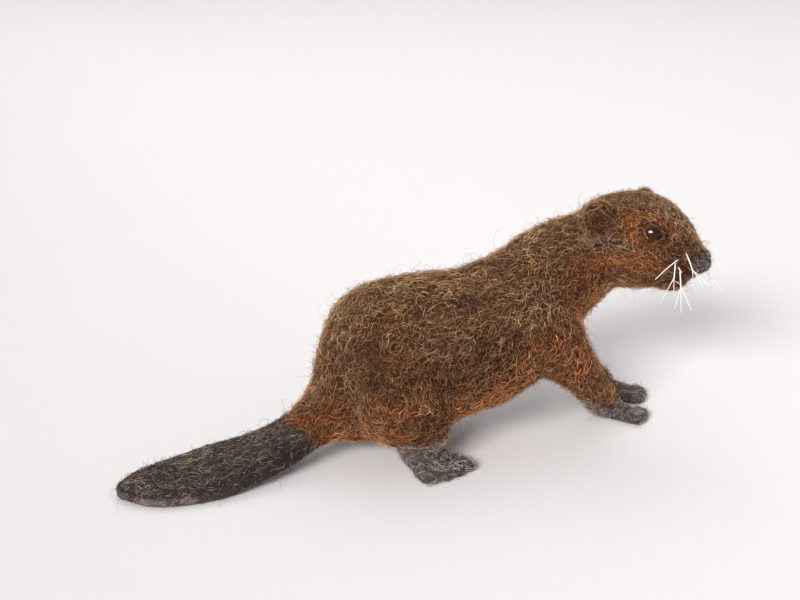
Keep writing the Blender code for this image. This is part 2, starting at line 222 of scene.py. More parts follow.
def paw_share(p):
    """How much a point belongs to a paw: 1 on the charcoal felt, 0 above the ankle."""
    out = np.zeros(len(p))
    for name, (heel, toe, width) in PAWS.items():
        a, b = np.array(heel), np.array(toe)
        along = b - a
        size = np.linalg.norm(along)
        along = along / size
        d = p[:, :2] - a
        s = d @ along
        side = np.abs(d @ np.array((-along[1], along[0])))
        front = "front" in name
        top = (3.3 if front else 3.6) + (4.0 * ramp(s / size, 0.20, 0.66) if front else 4.4 * ramp(s / size, 0.10, 0.62))
        near = (1 - ramp(side, width * 0.62, width * 0.86)) * ramp(s, -4.5, -2.5) * (1 - ramp(s, size + 2, size + 4))
        low = 1 - ramp(p[:, 2] + 2.6 * (rough(p, 2.2, 31) - 0.5), top - 1.3, top + 1.3)
        out = np.maximum(out, near * low)
    # the charcoal runs up the back of the near wrist
    back = p[:, 2] + 0.8 * (p[:, 0] - 32.7) + 1.6 * (rough(p, 1.6, 37) - 0.5)
    wrist = blob(p, (36.4, -7.4, 5.6), (5.6, 4.0, 4.6), 0.4) * (1 - ramp(back, 9.4, 10.8))
    return np.maximum(out, wrist)


def tail_share(p):
    edge = p[:, 0] + 1.5 * (p[:, 2] - 8) + 3.6 * (rough(p, 3.0, 33) - 0.5)
    return (1 - ramp(edge, -33.6, -30.6)) * (1 - ramp(p[:, 0], -28.6, -26.2)) * (1 - ramp(p[:, 2], 13.0, 15.0))


def nose_share(h):
    """1 on the dark felt of the nose, head frame."""
    return blob(h, NOSE_AT + (0.8, 0, -0.45), (2.9, 3.2, 2.85), 0.16)


TAIL_X = (-76, -73.6, -69, -61, -53, -45, -38)
TAIL_HALF = (2.2, 5.2, 8.4, 10.1, 10.1, 8.6, 6.8)


def across_tail(p):
    """0 along the middle of the tail, 1 at its edges."""
    mid = np.interp(p[:, 0], (-76, -61, -38), (-3.0, -3.5, -1.8))
    return np.abs(p[:, 1] - mid) / np.interp(p[:, 0], TAIL_X, TAIL_HALF)


def tail_rim(p):
    """1 on the rolled rim of the tail and at its tip, low down."""
    out = np.maximum(ramp(across_tail(p), 0.84, 0.94), 1 - ramp(p[:, 0], -75.6, -73.6))
    return out * (1 - ramp(p[:, 2], 1.7, 2.6)) * (p[:, 0] < -36)


def shares(p, n):
    """Weights of the named mixes at design points p with outward normals n: one row to a point."""
    h = to_head(p)
    hn = n @ HEAD_R
    hs = h * (1, 1, 1)
    hs[:, 1] = np.abs(hs[:, 1])
    y = np.abs(p[:, 1])
    pm = np.stack([p[:, 0], y, p[:, 2]], 1)
    patch = rough(p, 8.5, 3)
    streak = rough(p, 4.2, 5)
    w = {}
    # height round the body: 1 along the back, 0 low on the flanks
    up = ramp(n[:, 2] + 0.7 * (patch - 0.5), -0.05, 0.75)
    w["back"] = 0.15 + up
    w["back"] += 2.6 * blob(pm, (16.5, 12.5, 37.0), (5.5, 5.0, 5.0), 0.8) + 1.4 * blob(pm, (24.5, 9.0, 46.0), (6.0, 6.0, 5.0), 0.8)
    w["side"] = 0.15 + (1 - up) * 0.9 + ramp(patch, 0.55, 0.75) * 0.4
    under = np.zeros(len(p))
    for at, radii, amount, soft in (
        ((-29.5, 6, 9.0), (7.5, 7.0, 8.0), 2.6, 0.6),       # crotch, beside the root of the tail
        ((-20.0, 18, 12.0), (7.0, 4.5, 6.5), 1.2, 0.7),     # back of the thigh
        ((7.0, 15.5, 16.5), (12.5, 6.0, 4.6), 2.6, 0.6),    # edge of the belly
        ((6.0, 0, 8.5), (24.0, 15.0, 6.5), 1.8, 0.5),       # belly
        ((19.5, 12, 18.0), (6.5, 8.0, 6.0), 1.6, 0.6),      # armpit
        ((29.5, 10.5, 37.0), (4.6, 5.0, 5.0), 2.6, 0.6),    # throat
        ((34.0, 4, 31.0), (6.0, 10.0, 8.0), 1.6, 0.6),      # chest
        ((26.0, 15, 20.5), (4.8, 5.0, 5.2), 2.4, 0.7),      # upper arm
        ((34.5, 11, 10.5), (5.0, 4.0, 4.4), 0.8, 0.8),      # wrist
        ((14.5, 17, 25.0), (3.8, 4.0, 3.4), 1.2, 0.8),      # spots on the flank
        ((20.0, 18, 27.0), (3.2, 4.0, 3.0), 1.3, 0.8),
        ((-12.0, 19, 9.0), (7.5, 5.0, 3.0), 0.7, 0.8),      # above the hind foot
    ):
        under += amount * blob(pm, at, radii, soft)
    low = 1 - ramp(p[:, 2], 15, 27)
    under += 1.2 * low * ramp(rough(p, 6.0, 91), 0.54, 0.70) + 0.45 * ramp(rough(p, 5.0, 93), 0.62, 0.74)
    w["under"] = under * (0.55 + 0.9 * streak)
    eye = np.linalg.norm((hs - EYE_AT) * (0.85, 1.0, 1.25), axis=1)
    ring = (1 - ramp(eye, 4.0, 7.0)) * ramp(hs[:, 1], 2.0, 5.0)
    stripe = blob(hs, (7.8, 10.0, -3.9), (8.2, 4.5, 2.0), 0.5) + 0.6 * blob(hs, (-1.5, 11.5, -4.6), (2.4, 3.0, 1.4), 0.6)
    stripe += 1.2 * blob(hs, (10.6, 9.0, -3.2), (4.6, 4.0, 1.6), 0.6)
    arc = np.exp(-(((eye - 4.6) / 0.9) ** 2)) * ramp(hs[:, 2] - EYE_AT[2], 0.5, 2.5) * ramp(hs[:, 1], 2.0, 5.0)
    jaw = blob(hs, (7.0, 7.0, -8.5), (9.0, 5.0, 3.4), 0.5)
    w["cheek"] = 5.4 * stripe * (0.4 + 1.1 * streak) + 1.4 * ring + 1.9 * arc + 0.35 * jaw
    w["rust"] = (
        2.2 * blob(pm, (29.2, 14.8, 26.5), (3.0, 4.0, 6.5), 0.6)
        + 5.0 * blob(pm, (22, 17, 32), (2.5, 3.5, 4), 0.6)             # red patch on the shoulder's front
        + 0.9 * blob(pm, (31.5, 13.0, 17.0), (4.0, 4.0, 5.0), 0.8)
        + 1.0 * blob(from_ear(h), (-0.6, 0.6, -0.6), (2.2, 2.4, 2.0), 0.4)
        + 0.45 * jaw
    )
    w["grizzle"] = (
        2.4 * blob(hs, (3.0, 10.0, -0.6), (5.4, 4.0, 1.9), 0.6)
        + 1.8 * blob(hs, (7.8, 9.8, -1.2), (3.6, 4.0, 0.9), 0.5)       # line between the eye and the stripe
        + 2.2 * blob(hs, (13.4, 3.0, 8.0), (3.6, 3.6, 3.0), 0.7)       # brow
        + 0.7 * blob(hs, (16.8, 4.5, 3.6), (2.4, 3.0, 2.8), 0.7)       # bridge of the muzzle
        + 3.0 * blob(pm, (17.0, 13, 37.0), (5.5, 5.0, 4.8), 0.8)
        + 0.9 * blob(pm, (-3.0, 17, 31.0), (6.0, 5.0, 3.0), 0.8)
        + 0.6 * blob(pm, (12.0, 15, 33.0), (5.0, 5.0, 4.0), 0.8)
    )
    muzzle = blob(hs, (16.6, 5.6, 1.6), (3.2, 3.2, 3.8), 0.6) + 0.6 * blob(hs, (19.3, 2.5, 2.2), (1.9, 3.2, 1.8), 0.6)
    mouth = blob(hs, (20.2, 2.2, -6.4), (2.9, 3.8, 2.3), 0.5) + 0.7 * blob(hs, (17.2, 4.8, -7.4), (2.8, 2.6, 1.0), 0.6)
    lid = blob(hs, EYE_AT + (0.4, 0.3, -0.15), (3.2, 2.8, 1.9), 0.35)
    q = from_ear(h)
    ear = blob(q, (0.3, 0.8, -0.4), (2.7, 2.4, 2.5), 0.35)
    # painted shade: the shade mix is laid in the crease of the mouth, the cup of each ear, the hollow in front of the
    # shoulder, under the jaw and the mouth, in the hollow of the flank, in the fold in front of the haunch and in
    # patches on faces that turn down; over the lids it is their dark felt, and the streaks are darker wool
    w["shade"] = (
        0.9 * muzzle
        + 6.0 * mouth
        + 9.0 * lid
        + 5.5 * ear
        + 0.9 * blob(pm, (23.5, 11.5, 38.5), (3.0, 4.0, 3.0), 0.8)     # hollow in front of the shoulder
        + 1.0 * blob(pm, (31.5, 9.0, 39.5), (4.0, 4.0, 4.0), 0.8)      # under the jaw
        + 1.6 * blob(hs, (13.5, 6.0, -8.6), (4.2, 4.5, 2.2), 0.7)      # under the mouth
        + 1.3 * blob(pm, (7.0, 17.0, 28.5), (5.0, 4.0, 3.6), 0.8)      # hollow of the flank
        + 2.0 * blob(pm, (-11.0, 19.5, 11.6), (5.0, 4.0, 3.6), 0.8)    # low on the haunch
        + 0.9 * blob(hs, (4.0, 5.5, 9.0), (5.0, 5.0, 3.0), 0.8)        # crown
        + 2.2 * blob(pm, (-5.0, 20.0, 20.0), (2.6, 4.0, 8.0), 0.8)     # fold in front of the haunch
        + 1.5 * ramp(streak, 0.52, 0.70)
        # painted shade: darker patches only where the surface turns sideways and down
        + 1.2 * ramp(rough(p, 9.0, 97), 0.54, 0.70) * ramp(-n[:, 2], -0.8, 0.0)
    )
    body = sum(w.values())
    for k in w:
        w[k] = w[k] / body
    paw, tail = paw_share(p), tail_share(p)
    grey = np.maximum(paw, tail)
    nose = nose_share(h)
    sole = grey * ramp(-n[:, 2], 0.5, 0.9) * (1 - ramp(p[:, 2], 0.6, 1.4))
    for k in w:
        w[k] = w[k] * (1 - grey) * (1 - nose)
    rim = tail_rim(p) * ramp(-p[:, 0], 50, 62) * (0.35 + 0.9 * rough(p, 2.4, 57))
    rim = np.clip(rim, 0, 1)
    w["charcoal"] = (grey - paw * (1 - tail)) * (1 - sole) * (1 - nose) * (1 - rim)
    w["worn"] = (grey - paw * (1 - tail)) * (1 - sole) * (1 - nose) * rim
    w["paw"] = paw * (1 - tail) * (1 - sole) * (1 - nose)
    w["sole"] = sole
    w["nose"] = nose
    return w


def recipe(p, n):
    """Share of each wool at each point."""
    w = shares(p, n)
    out = sum(w[k][:, None] * np.array(MIXES[k])[None] for k in w)
    return out / out.sum(1, keepdims=True)


WOOL_TABLE = np.array([linear(WOOL_RGB[k]) for k in WOOLS])


# ---------------------------------------------------------------- the lay of the wool
GUIDES = [  # a place on the near side and the way its wool lies; the far side mirrors it
    ((-34, 0, 15), (-1, 0, -0.5)), ((-27, 5, 26), (-0.4, 0, -1)), ((-30, 4, 12), (-0.9, 0.1, -0.7)),
    ((-20, 2, 38), (-1, 0, -0.4)), ((-8, 0, 42), (-1, 0, 0.05)), ((4, 0, 42), (-1, 0, 0)), ((15, 2, 43), (-1, 0, -0.25)),
    ((24, 3, 48), (-1, 0, -0.7)), ((-24, 13, 22), (-0.3, 0, -1)), ((-20, 13, 31), (-0.8, 0.2, -0.9)),
    ((-10, 15, 33), (-1, 0, -0.35)), ((0, 17, 30), (-1, 0, -0.55)), ((10, 16, 30), (-0.9, 0, -0.6)),
    ((18, 14, 34), (-0.6, 0, -0.9)), ((10, 17, 20), (-1, 0, -0.35)), ((-16, 19, 23), (-0.2, 0.1, -1)),
    ((-8, 20, 22), (0.3, 0, -1)), ((-14, 20, 13), (0.8, 0, -0.4)), ((-7, 19, 10), (1, 0, -0.25)),
    ((-19, 18, 10), (0.7, 0.2, -0.7)), ((5, 14, 14), (-1, 0, -0.2)), ((0, 0, 4), (-1, 0, 0)), ((18, 0, 12), (-1, 0, -0.5)),
    ((22, 17, 30), (0.25, 0.1, -1)), ((20, 16, 22), (-0.2, 0, -1)), ((28, 15, 24), (0.5, 0, -1)),
    ((34, 11, 14), (0.7, -0.4, -0.7)), ((33, 12, 8), (0.9, -0.4, -0.5)), ((27, 10, 42), (-0.55, 0, -0.8)),
    ((26, 12, 36), (-0.3, 0, -1)), ((34, 11, 38), (-0.7, -0.2, -0.8)), ((36, 0, 28), (-0.2, 0, -1)),
    ((-45, 2, 6), (-1, 0, -0.1)), ((-58, 0, 4), (-1, 0, 0)), ((-72, 0, 3), (-1, 0, 0)),
]
HEAD_GUIDES = [
    ((-4, 3, 8), (-1, 0, -0.3)), ((5, 2, 10), (-1, 0, 0.05)), ((12, 2, 9), (-1, 0, 0.45)), ((17, 2, 5), (-0.7, 0.1, 0.75)),
    ((18, 5, 1), (-1, 0.3, 0.3)), ((17, 6, -4), (-1, 0.2, 0.15)), ((8, 10, -3), (-1, 0.1, 0.1)), ((0, 11, -4), (-1, 0, -0.3)),
    ((10, 7, -9), (-1, 0, 0)), ((6, 6, -11), (-1, 0, 0.1)), ((17, 2, -9), (-1, 0, 0.2)), ((5, 9, 6), (-1, 0.1, -0.15)),
    ((2, 10, 0), (-0.8, 0, -0.8)),
]


def guide_table():
    at, way = [], []
    for (x, y, z), d in GUIDES:
        for s in (1, -1):
            at.append((x, s * y, z))
            way.append((d[0], s * d[1], d[2]))
    for (x, y, z), d in HEAD_GUIDES:
        for s in (1, -1):
            at.append(tuple(from_head((x, s * y, z))))
            way.append(tuple(turned((d[0], s * d[1], d[2]))))
    for heel, toe, width in PAWS.values():
        a, b = np.array(heel), np.array(toe)
        d = unit(b - a)
        for t in (0.1, 0.5, 1.0):
            q = a + (b - a) * t
            at.append((q[0], q[1], 3.0))
            way.append((d[0], d[1], -0.2))
    return np.array(at, float), unit(np.array(way, float))


GUIDE_AT, GUIDE_WAY = guide_table()


def lay(p, n):
    """Unit tangent that the wool follows at each point."""
    out = np.zeros_like(p)
    for i in range(0, len(p), 20000):
        q = p[i : i + 20000]
        d2 = ((q[:, None, :] - GUIDE_AT[None]) ** 2).sum(-1) + 1.0
        w = d2**-2.2
        out[i : i + 20000] = (w[:, :, None] * GUIDE_WAY[None]).sum(1) / w.sum(1)[:, None]
    # round each eye the wool lies in rings
    h = to_head(p)
    for side in (1, -1):
        c = EYE_AT * (1, side, 1)
        r = h - c
        axis = unit(np.array((0.15, side * 0.95, 0.28)))
        ring = unit(np.cross(axis, r)) * -side
        w = (1 - ramp(np.linalg.norm(r * (0.9, 0.6, 1.2), axis=1), 3.0, 6.5))[:, None]
        w = w * (h[:, 1:2] * side > 1.0)
        out = out * (1 - w) + (ring @ HEAD_R.T) * w
        c = EARS[side]
        r = h - c
        ring = unit(np.cross(axis, r)) * -side
        w = (1 - ramp(np.linalg.norm(r, axis=1), 3.4, 5.2))[:, None]
        out = out * (1 - w) + (ring @ HEAD_R.T) * w
    out -= n * (out * n).sum(-1, keepdims=True)
    return unit(out)


# ---------------------------------------------------------------- materials
def nodes_of(name):
    mat = bpy.data.materials.new(name)
    mat.use_nodes = True
    nt = mat.node_tree
    return mat, nt, nt.nodes["Principled BSDF"]


def put(nt, kind, **values):
    n = nt.nodes.new(kind)
    for k, v in values.items():
        if hasattr(n, k) and k not in n.inputs:
            setattr(n, k, v)
        else:
            n.inputs[k].default_value = v
    return n


def maths(nt, op, a, b=None, clamp=False):
    n = nt.nodes.new("ShaderNodeMath")
    n.operation = op
    n.use_clamp = clamp
    for i, v in enumerate((a, b)):
        if v is None:
            continue
        if isinstance(v, (int, float)):
            n.inputs[i].default_value = v
        else:
            nt.links.new(v, n.inputs[i])
    return n.outputs[0]


def blend_colour(nt, share, a, b, kind="MIX"):
    n = nt.nodes.new("ShaderNodeMix")
    n.data_type = "RGBA"
    n.blend_type = kind
    for socket, v in ((n.inputs[0], share), (n.inputs[6], a), (n.inputs[7], b)):
        if isinstance(v, (int, float, tuple)):
            socket.default_value = v
        else:
            nt.links.new(v, socket)
    return n.outputs[2]


def threads(nt, where, scale, width, seed):
    """1 on thin curly lines, where a noise passes through its middle value."""
    move = put(nt, "ShaderNodeVectorMath", operation="ADD")
    nt.links.new(where, move.inputs[0])
    move.inputs[1].default_value = (seed * 0.37, seed * 0.11, seed * 0.23)
    tex = put(nt, "ShaderNodeTexNoise", Scale=scale, Detail=1.0, Roughness=0.5, Distortion=0.9)
    nt.links.new(move.outputs[0], tex.inputs["Vector"])
    off = maths(nt, "ABSOLUTE", maths(nt, "SUBTRACT", tex.outputs[0], 0.5))
    return maths(nt, "SUBTRACT", 1.0, maths(nt, "DIVIDE", off, width), clamp=True)


def felt_material(name="felted_wool"):
    """The felted ground under the fibres: the colour painted on the skin, crossed by fine curly threads, light and
    dark; the light threads are a lit copy of that colour, painted light, and the dark threads and the mottle are a
    shaded copy, painted shade.
    """
    mat, nt, bsdf = nodes_of(name)
    colour = put(nt, "ShaderNodeAttribute", attribute_name="wool").outputs["Color"]
    where = nt.nodes.new("ShaderNodeTexCoord").outputs["Object"]
    light = maths(nt, "MAXIMUM", threads(nt, where, 900.0, 0.05, 1.0), threads(nt, where, 1300.0, 0.05, 2.0))
    dark = threads(nt, where, 800.0, 0.07, 3.0)
    mottle = put(nt, "ShaderNodeTexNoise", Scale=260.0, Detail=3.0)
    nt.links.new(where, mottle.inputs["Vector"])
    # painted light and shade: lit and shaded copies of the skin's colour, for the fine threads and the gaps between
    # them
    painted_light_threads = blend_colour(nt, 1.0, colour, (2.1, 2.05, 1.9, 1), "MULTIPLY")
    dark_and_painted_shade = blend_colour(nt, 1.0, colour, (0.40, 0.36, 0.34, 1), "MULTIPLY")
    c = blend_colour(nt, maths(nt, "MULTIPLY", dark, 0.8), colour, dark_and_painted_shade)
    c = blend_colour(nt, maths(nt, "MULTIPLY", light, 0.75), c, painted_light_threads)
    c = blend_colour(nt, maths(nt, "MULTIPLY", mottle.outputs[0], 0.55), c, dark_and_painted_shade)
    nt.links.new(c, bsdf.inputs["Base Color"])
    height = maths(nt, "SUBTRACT", maths(nt, "ADD", light, mottle.outputs[0]), dark)
    bump = put(nt, "ShaderNodeBump", Strength=0.7, Distance=0.00025)
    nt.links.new(height, bump.inputs["Height"])
    nt.links.new(bump.outputs[0], bsdf.inputs["Normal"])
    bsdf.inputs["Roughness"].default_value = 0.95
    bsdf.inputs["Specular IOR Level"].default_value = 0.12
    bsdf.inputs["Sheen Weight"].default_value = 0.04
    bsdf.inputs["Sheen Roughness"].default_value = 0.5
    return mat


def fibre_material(name="wool_fibre"):
    """One wool fibre: its own dye, a little uneven along its length."""
    mat, nt, bsdf = nodes_of(name)
    colour = put(nt, "ShaderNodeAttribute", attribute_name="wool").outputs["Color"]
    where = nt.nodes.new("ShaderNodeTexCoord").outputs["Object"]
    tex = put(nt, "ShaderNodeTexNoise", Scale=900.0, Detail=1.0)
    nt.links.new(where, tex.inputs["Vector"])
    c = blend_colour(nt, maths(nt, "MULTIPLY", tex.outputs[0], 0.5), colour, (0.8, 0.74, 0.68, 1), "MULTIPLY")
    nt.links.new(c, bsdf.inputs["Base Color"])
    bsdf.inputs["Roughness"].default_value = 0.48
    bsdf.inputs["Specular IOR Level"].default_value = 0.36
    return mat


def bead_material(name="glass_bead"):
    mat, nt, bsdf = nodes_of(name)
    where = nt.nodes.new("ShaderNodeTexCoord").outputs["Object"]
    tex = put(nt, "ShaderNodeTexNoise", Scale=900.0, Detail=2.0)
    nt.links.new(where, tex.inputs["Vector"])
    c = blend_colour(nt, tex.outputs[0], (0.0042, 0.0013, 0.0009, 1), (0.0085, 0.0025, 0.0017, 1))
    nt.links.new(c, bsdf.inputs["Base Color"])
    bsdf.inputs["Roughness"].default_value = 0.07
    bsdf.inputs["Specular IOR Level"].default_value = 0.17
    return mat


def bristle_material(name="bristle"):
    mat, nt, bsdf = nodes_of(name)
    where = nt.nodes.new("ShaderNodeTexCoord").outputs["Object"]
    tex = put(nt, "ShaderNodeTexNoise", Scale=700.0, Detail=2.0)
    nt.links.new(where, tex.inputs["Vector"])
    c = blend_colour(nt, tex.outputs[0], (0.86, 0.82, 0.74, 1), (0.97, 0.95, 0.91, 1))
    nt.links.new(c, bsdf.inputs["Base Color"])
    bsdf.inputs["Roughness"].default_value = 0.42
    bsdf.inputs["Specular IOR Level"].default_value = 0.5
    # painted light: the bristles glow a little, beyond the light that falls on them
    bsdf.inputs["Emission Color"].default_value = (1.0, 0.98, 0.95, 1)
    bsdf.inputs["Emission Strength"].default_value = 0.10
    return mat


def floor_material(name="pale_paper"):
    mat, nt, bsdf = nodes_of(name)
    where = nt.nodes.new("ShaderNodeTexCoord").outputs["Object"]
    tex = put(nt, "ShaderNodeTexNoise", Scale=1400.0, Detail=3.0)
    wide = put(nt, "ShaderNodeTexNoise", Scale=5.0, Detail=2.0)
    nt.links.new(where, tex.inputs["Vector"])
    nt.links.new(where, wide.inputs["Vector"])
    parts = put(nt, "ShaderNodeSeparateXYZ")
    nt.links.new(where, parts.inputs[0])
    # painted light and shade: the sheet is a little brighter towards the head and behind the figure and darker towards
    # the tail and the camera, with broad uneven patches, for uneven light on the paper
    back = maths(nt, "ADD", parts.outputs[0], maths(nt, "MULTIPLY", parts.outputs[1], 0.15))
    back = maths(nt, "ADD", back, maths(nt, "MULTIPLY", maths(nt, "SUBTRACT", wide.outputs[0], 0.5), 0.06))
    ramp_node = put(nt, "ShaderNodeMapRange", interpolation_type="SMOOTHSTEP")
    ramp_node.inputs["From Min"].default_value = -0.30
    ramp_node.inputs["From Max"].default_value = 0.12
    nt.links.new(back, ramp_node.inputs["Value"])
    c = blend_colour(nt, ramp_node.outputs[0], (0.705, 0.680, 0.684, 1), (0.962, 0.940, 0.943, 1))
    grain = blend_colour(nt, tex.outputs[0], (0.965, 0.965, 0.965, 1), (1.0, 1.0, 1.0, 1))
    c = blend_colour(nt, 1.0, c, grain, "MULTIPLY")
    nt.links.new(c, bsdf.inputs["Base Color"])
    bump = put(nt, "ShaderNodeBump", Strength=0.12, Distance=0.0002)
    nt.links.new(tex.outputs[0], bump.inputs["Height"])
    nt.links.new(bump.outputs[0], bsdf.inputs["Normal"])
    bsdf.inputs["Roughness"].default_value = 0.9
    bsdf.inputs["Specular IOR Level"].default_value = 0.2
    return mat


# ---------------------------------------------------------------- meshes from arrays
def mesh_object(name, verts_mm, faces, mat, smooth=True):
    """A mesh object from design-frame points and faces all of one length."""
    faces = np.asarray(faces, np.int32)
    me = bpy.data.meshes.new(name)
    me.vertices.add(len(verts_mm))
    me.vertices.foreach_set("co", ((np.asarray(verts_mm) + OFF) * MM).astype(np.float32).ravel())
    k = faces.shape[1]
    me.loops.add(faces.size)
    me.loops.foreach_set("vertex_index", faces.ravel())
    me.polygons.add(len(faces))
    me.polygons.foreach_set("loop_start", np.arange(0, faces.size, k, dtype=np.int32))
    me.polygons.foreach_set("loop_total", np.full(len(faces), k, np.int32))
    me.update(calc_edges=True)
    me.validate()
    if smooth:
        me.polygons.foreach_set("use_smooth", np.ones(len(me.polygons), bool))
    obj = bpy.data.objects.new(name, me)
    bpy.context.scene.collection.objects.link(obj)
    me.materials.append(mat)
    return obj


def paint(obj, colours):
    a = obj.data.color_attributes.new("wool", "FLOAT_COLOR", "POINT")
    rgba = np.ones((len(colours), 4), np.float32)
    rgba[:, :3] = colours
    a.data.foreach_set("color", rgba.ravel())


def arrays(me):
    v = np.empty(len(me.vertices) * 3)
    me.vertices.foreach_get("co", v)
    me.calc_loop_triangles()
    t = np.empty(len(me.loop_triangles) * 3, np.int32)
    me.loop_triangles.foreach_get("vertices", t)
    return v.reshape(-1, 3) / MM - OFF, t.reshape(-1, 3)


def vertex_normals(v, t):
    f = np.cross(v[t[:, 1]] - v[t[:, 0]], v[t[:, 2]] - v[t[:, 0]])
    out = np.zeros_like(v)
    for k in range(3):
        for a in range(3):
            out[:, a] += np.bincount(t[:, k], f[:, a], len(v))
    return unit(out)


def edges_of(t):
    e = np.sort(np.concatenate([t[:, [0, 1]], t[:, [1, 2]], t[:, [2, 0]]]), axis=1)
    return np.unique(e, axis=0)


def smoothed(values, e, passes, strength=0.5, weight=None):
    """Each point moves towards the mean of its neighbours; weight from 0 to 1 holds some back."""
    x = values.copy()
    n = len(x)
    count = np.bincount(e.ravel(), minlength=n).astype(float)[:, None]
    for _ in range(passes):
        s = np.zeros_like(x)
        for a in range(x.shape[1]):
            s[:, a] = np.bincount(e[:, 0], x[e[:, 1], a], n) + np.bincount(e[:, 1], x[e[:, 0], a], n)
        move = (s / count - x) * strength
        x += move if weight is None else move * weight[:, None]
    return x


# ---------------------------------------------------------------- the felted skin
def fused_solids():
    """All the solids of felt as one surface: each grown over its thin gaps, then joined by a remesh."""
    bm = bmesh.new()
    for name in FLESH:
        part = bmesh.new()
        part.from_mesh(frame["nodes"][name].data)
        bmesh.ops.remove_doubles(part, verts=part.verts[:], dist=3e-6)
        bmesh.ops.recalc_face_normals(part, faces=part.faces[:])
        part.normal_update()
        moves = [(v, v.normal * 0.24 * MM) for v in part.verts]
        for v, m in moves:
            v.co += m
        me = bpy.data.meshes.new("part")
        part.to_mesh(me)
        part.free()
        bm.from_mesh(me)
        bpy.data.meshes.remove(me)
    me = bpy.data.meshes.new("fused")
    bm.to_mesh(me)
    bm.free()
    obj = bpy.data.objects.new("fused", me)
    bpy.context.scene.collection.objects.link(obj)
    mod = obj.modifiers.new("remesh", "REMESH")
    mod.mode = "VOXEL"
    mod.voxel_size = 0.46 * MM
    dg = bpy.context.evaluated_depsgraph_get()
    out = bpy.data.meshes.new_from_object(obj.evaluated_get(dg))
    bpy.data.objects.remove(obj)
    # keep only the outer shell
    bm = bmesh.new()
    bm.from_mesh(out)
    seen, shells = set(), []
    for v in bm.verts:
        if v.index in seen:
            continue
        shell, stack = [], [v]
        seen.add(v.index)
        while stack:
            a = stack.pop()
            shell.append(a)
            for edge in a.link_edges:
                b = edge.other_vert(a)
                if b.index not in seen:
                    seen.add(b.index)
                    stack.append(b)
        shells.append(shell)
    shells.sort(key=len)
    for shell in shells[:-1]:
        bmesh.ops.delete(bm, geom=shell, context="VERTS")
    bmesh.ops.triangulate(bm, faces=bm.faces[:])
    # finer cells on the face, so that lids, nostrils and ears can be modelled
    bm.verts.ensure_lookup_table()
    co = np.array([v.co[:] for v in bm.verts]) / MM - OFF
    h = to_head(co)
    hs = np.abs(h * (0, 1, 0)) + h * (1, 0, 1)
    fine = (
        (np.linalg.norm(hs - EYE_AT, axis=1) < 4.2)
        | (np.linalg.norm(hs - NOSE_AT, axis=1) < 4.6)
        | (np.linalg.norm(from_ear(h), axis=1) < 4.8)
    )
    chosen = [e for e in bm.edges if fine[e.verts[0].index] and fine[e.verts[1].index]]
    bmesh.ops.subdivide_edges(bm, edges=chosen, cuts=1, use_grid_fill=True)
    bmesh.ops.triangulate(bm, faces=bm.faces[:])
    bm.to_mesh(out)
    bm.free()
    return out


def coat_depth(p, n):
    """How far the felted skin lies under the outside of the solids, mm."""
    h = to_head(p)
    head = ramp(h[:, 0] + 0.5 * h[:, 2], -8, 0) * (1 - ramp(np.linalg.norm(h, axis=1), 24, 28))
    d = 0.95 * (1 - head) + 0.62 * head
    d = d * (1 - ramp(h[:, 0], 12, 19) * head * 0.35)
    grey = np.maximum(paw_share(p), tail_share(p))
    d = d * (1 - grey) + 0.36 * grey
    ear = 1 - ramp(np.linalg.norm(from_ear(h), axis=1), 3.2, 5.2)
    d = d * (1 - ear) + 0.36 * ear
    nose = 1 - ramp(np.linalg.norm(h - NOSE_AT, axis=1), 3.0, 4.6)
    d = d * (1 - nose) + 0.14 * nose
    return d


def eye_axis(side):
    s = 1 if side == "left" else -1
    return turned(unit(np.array((0.30, s * 0.90, 0.30))))


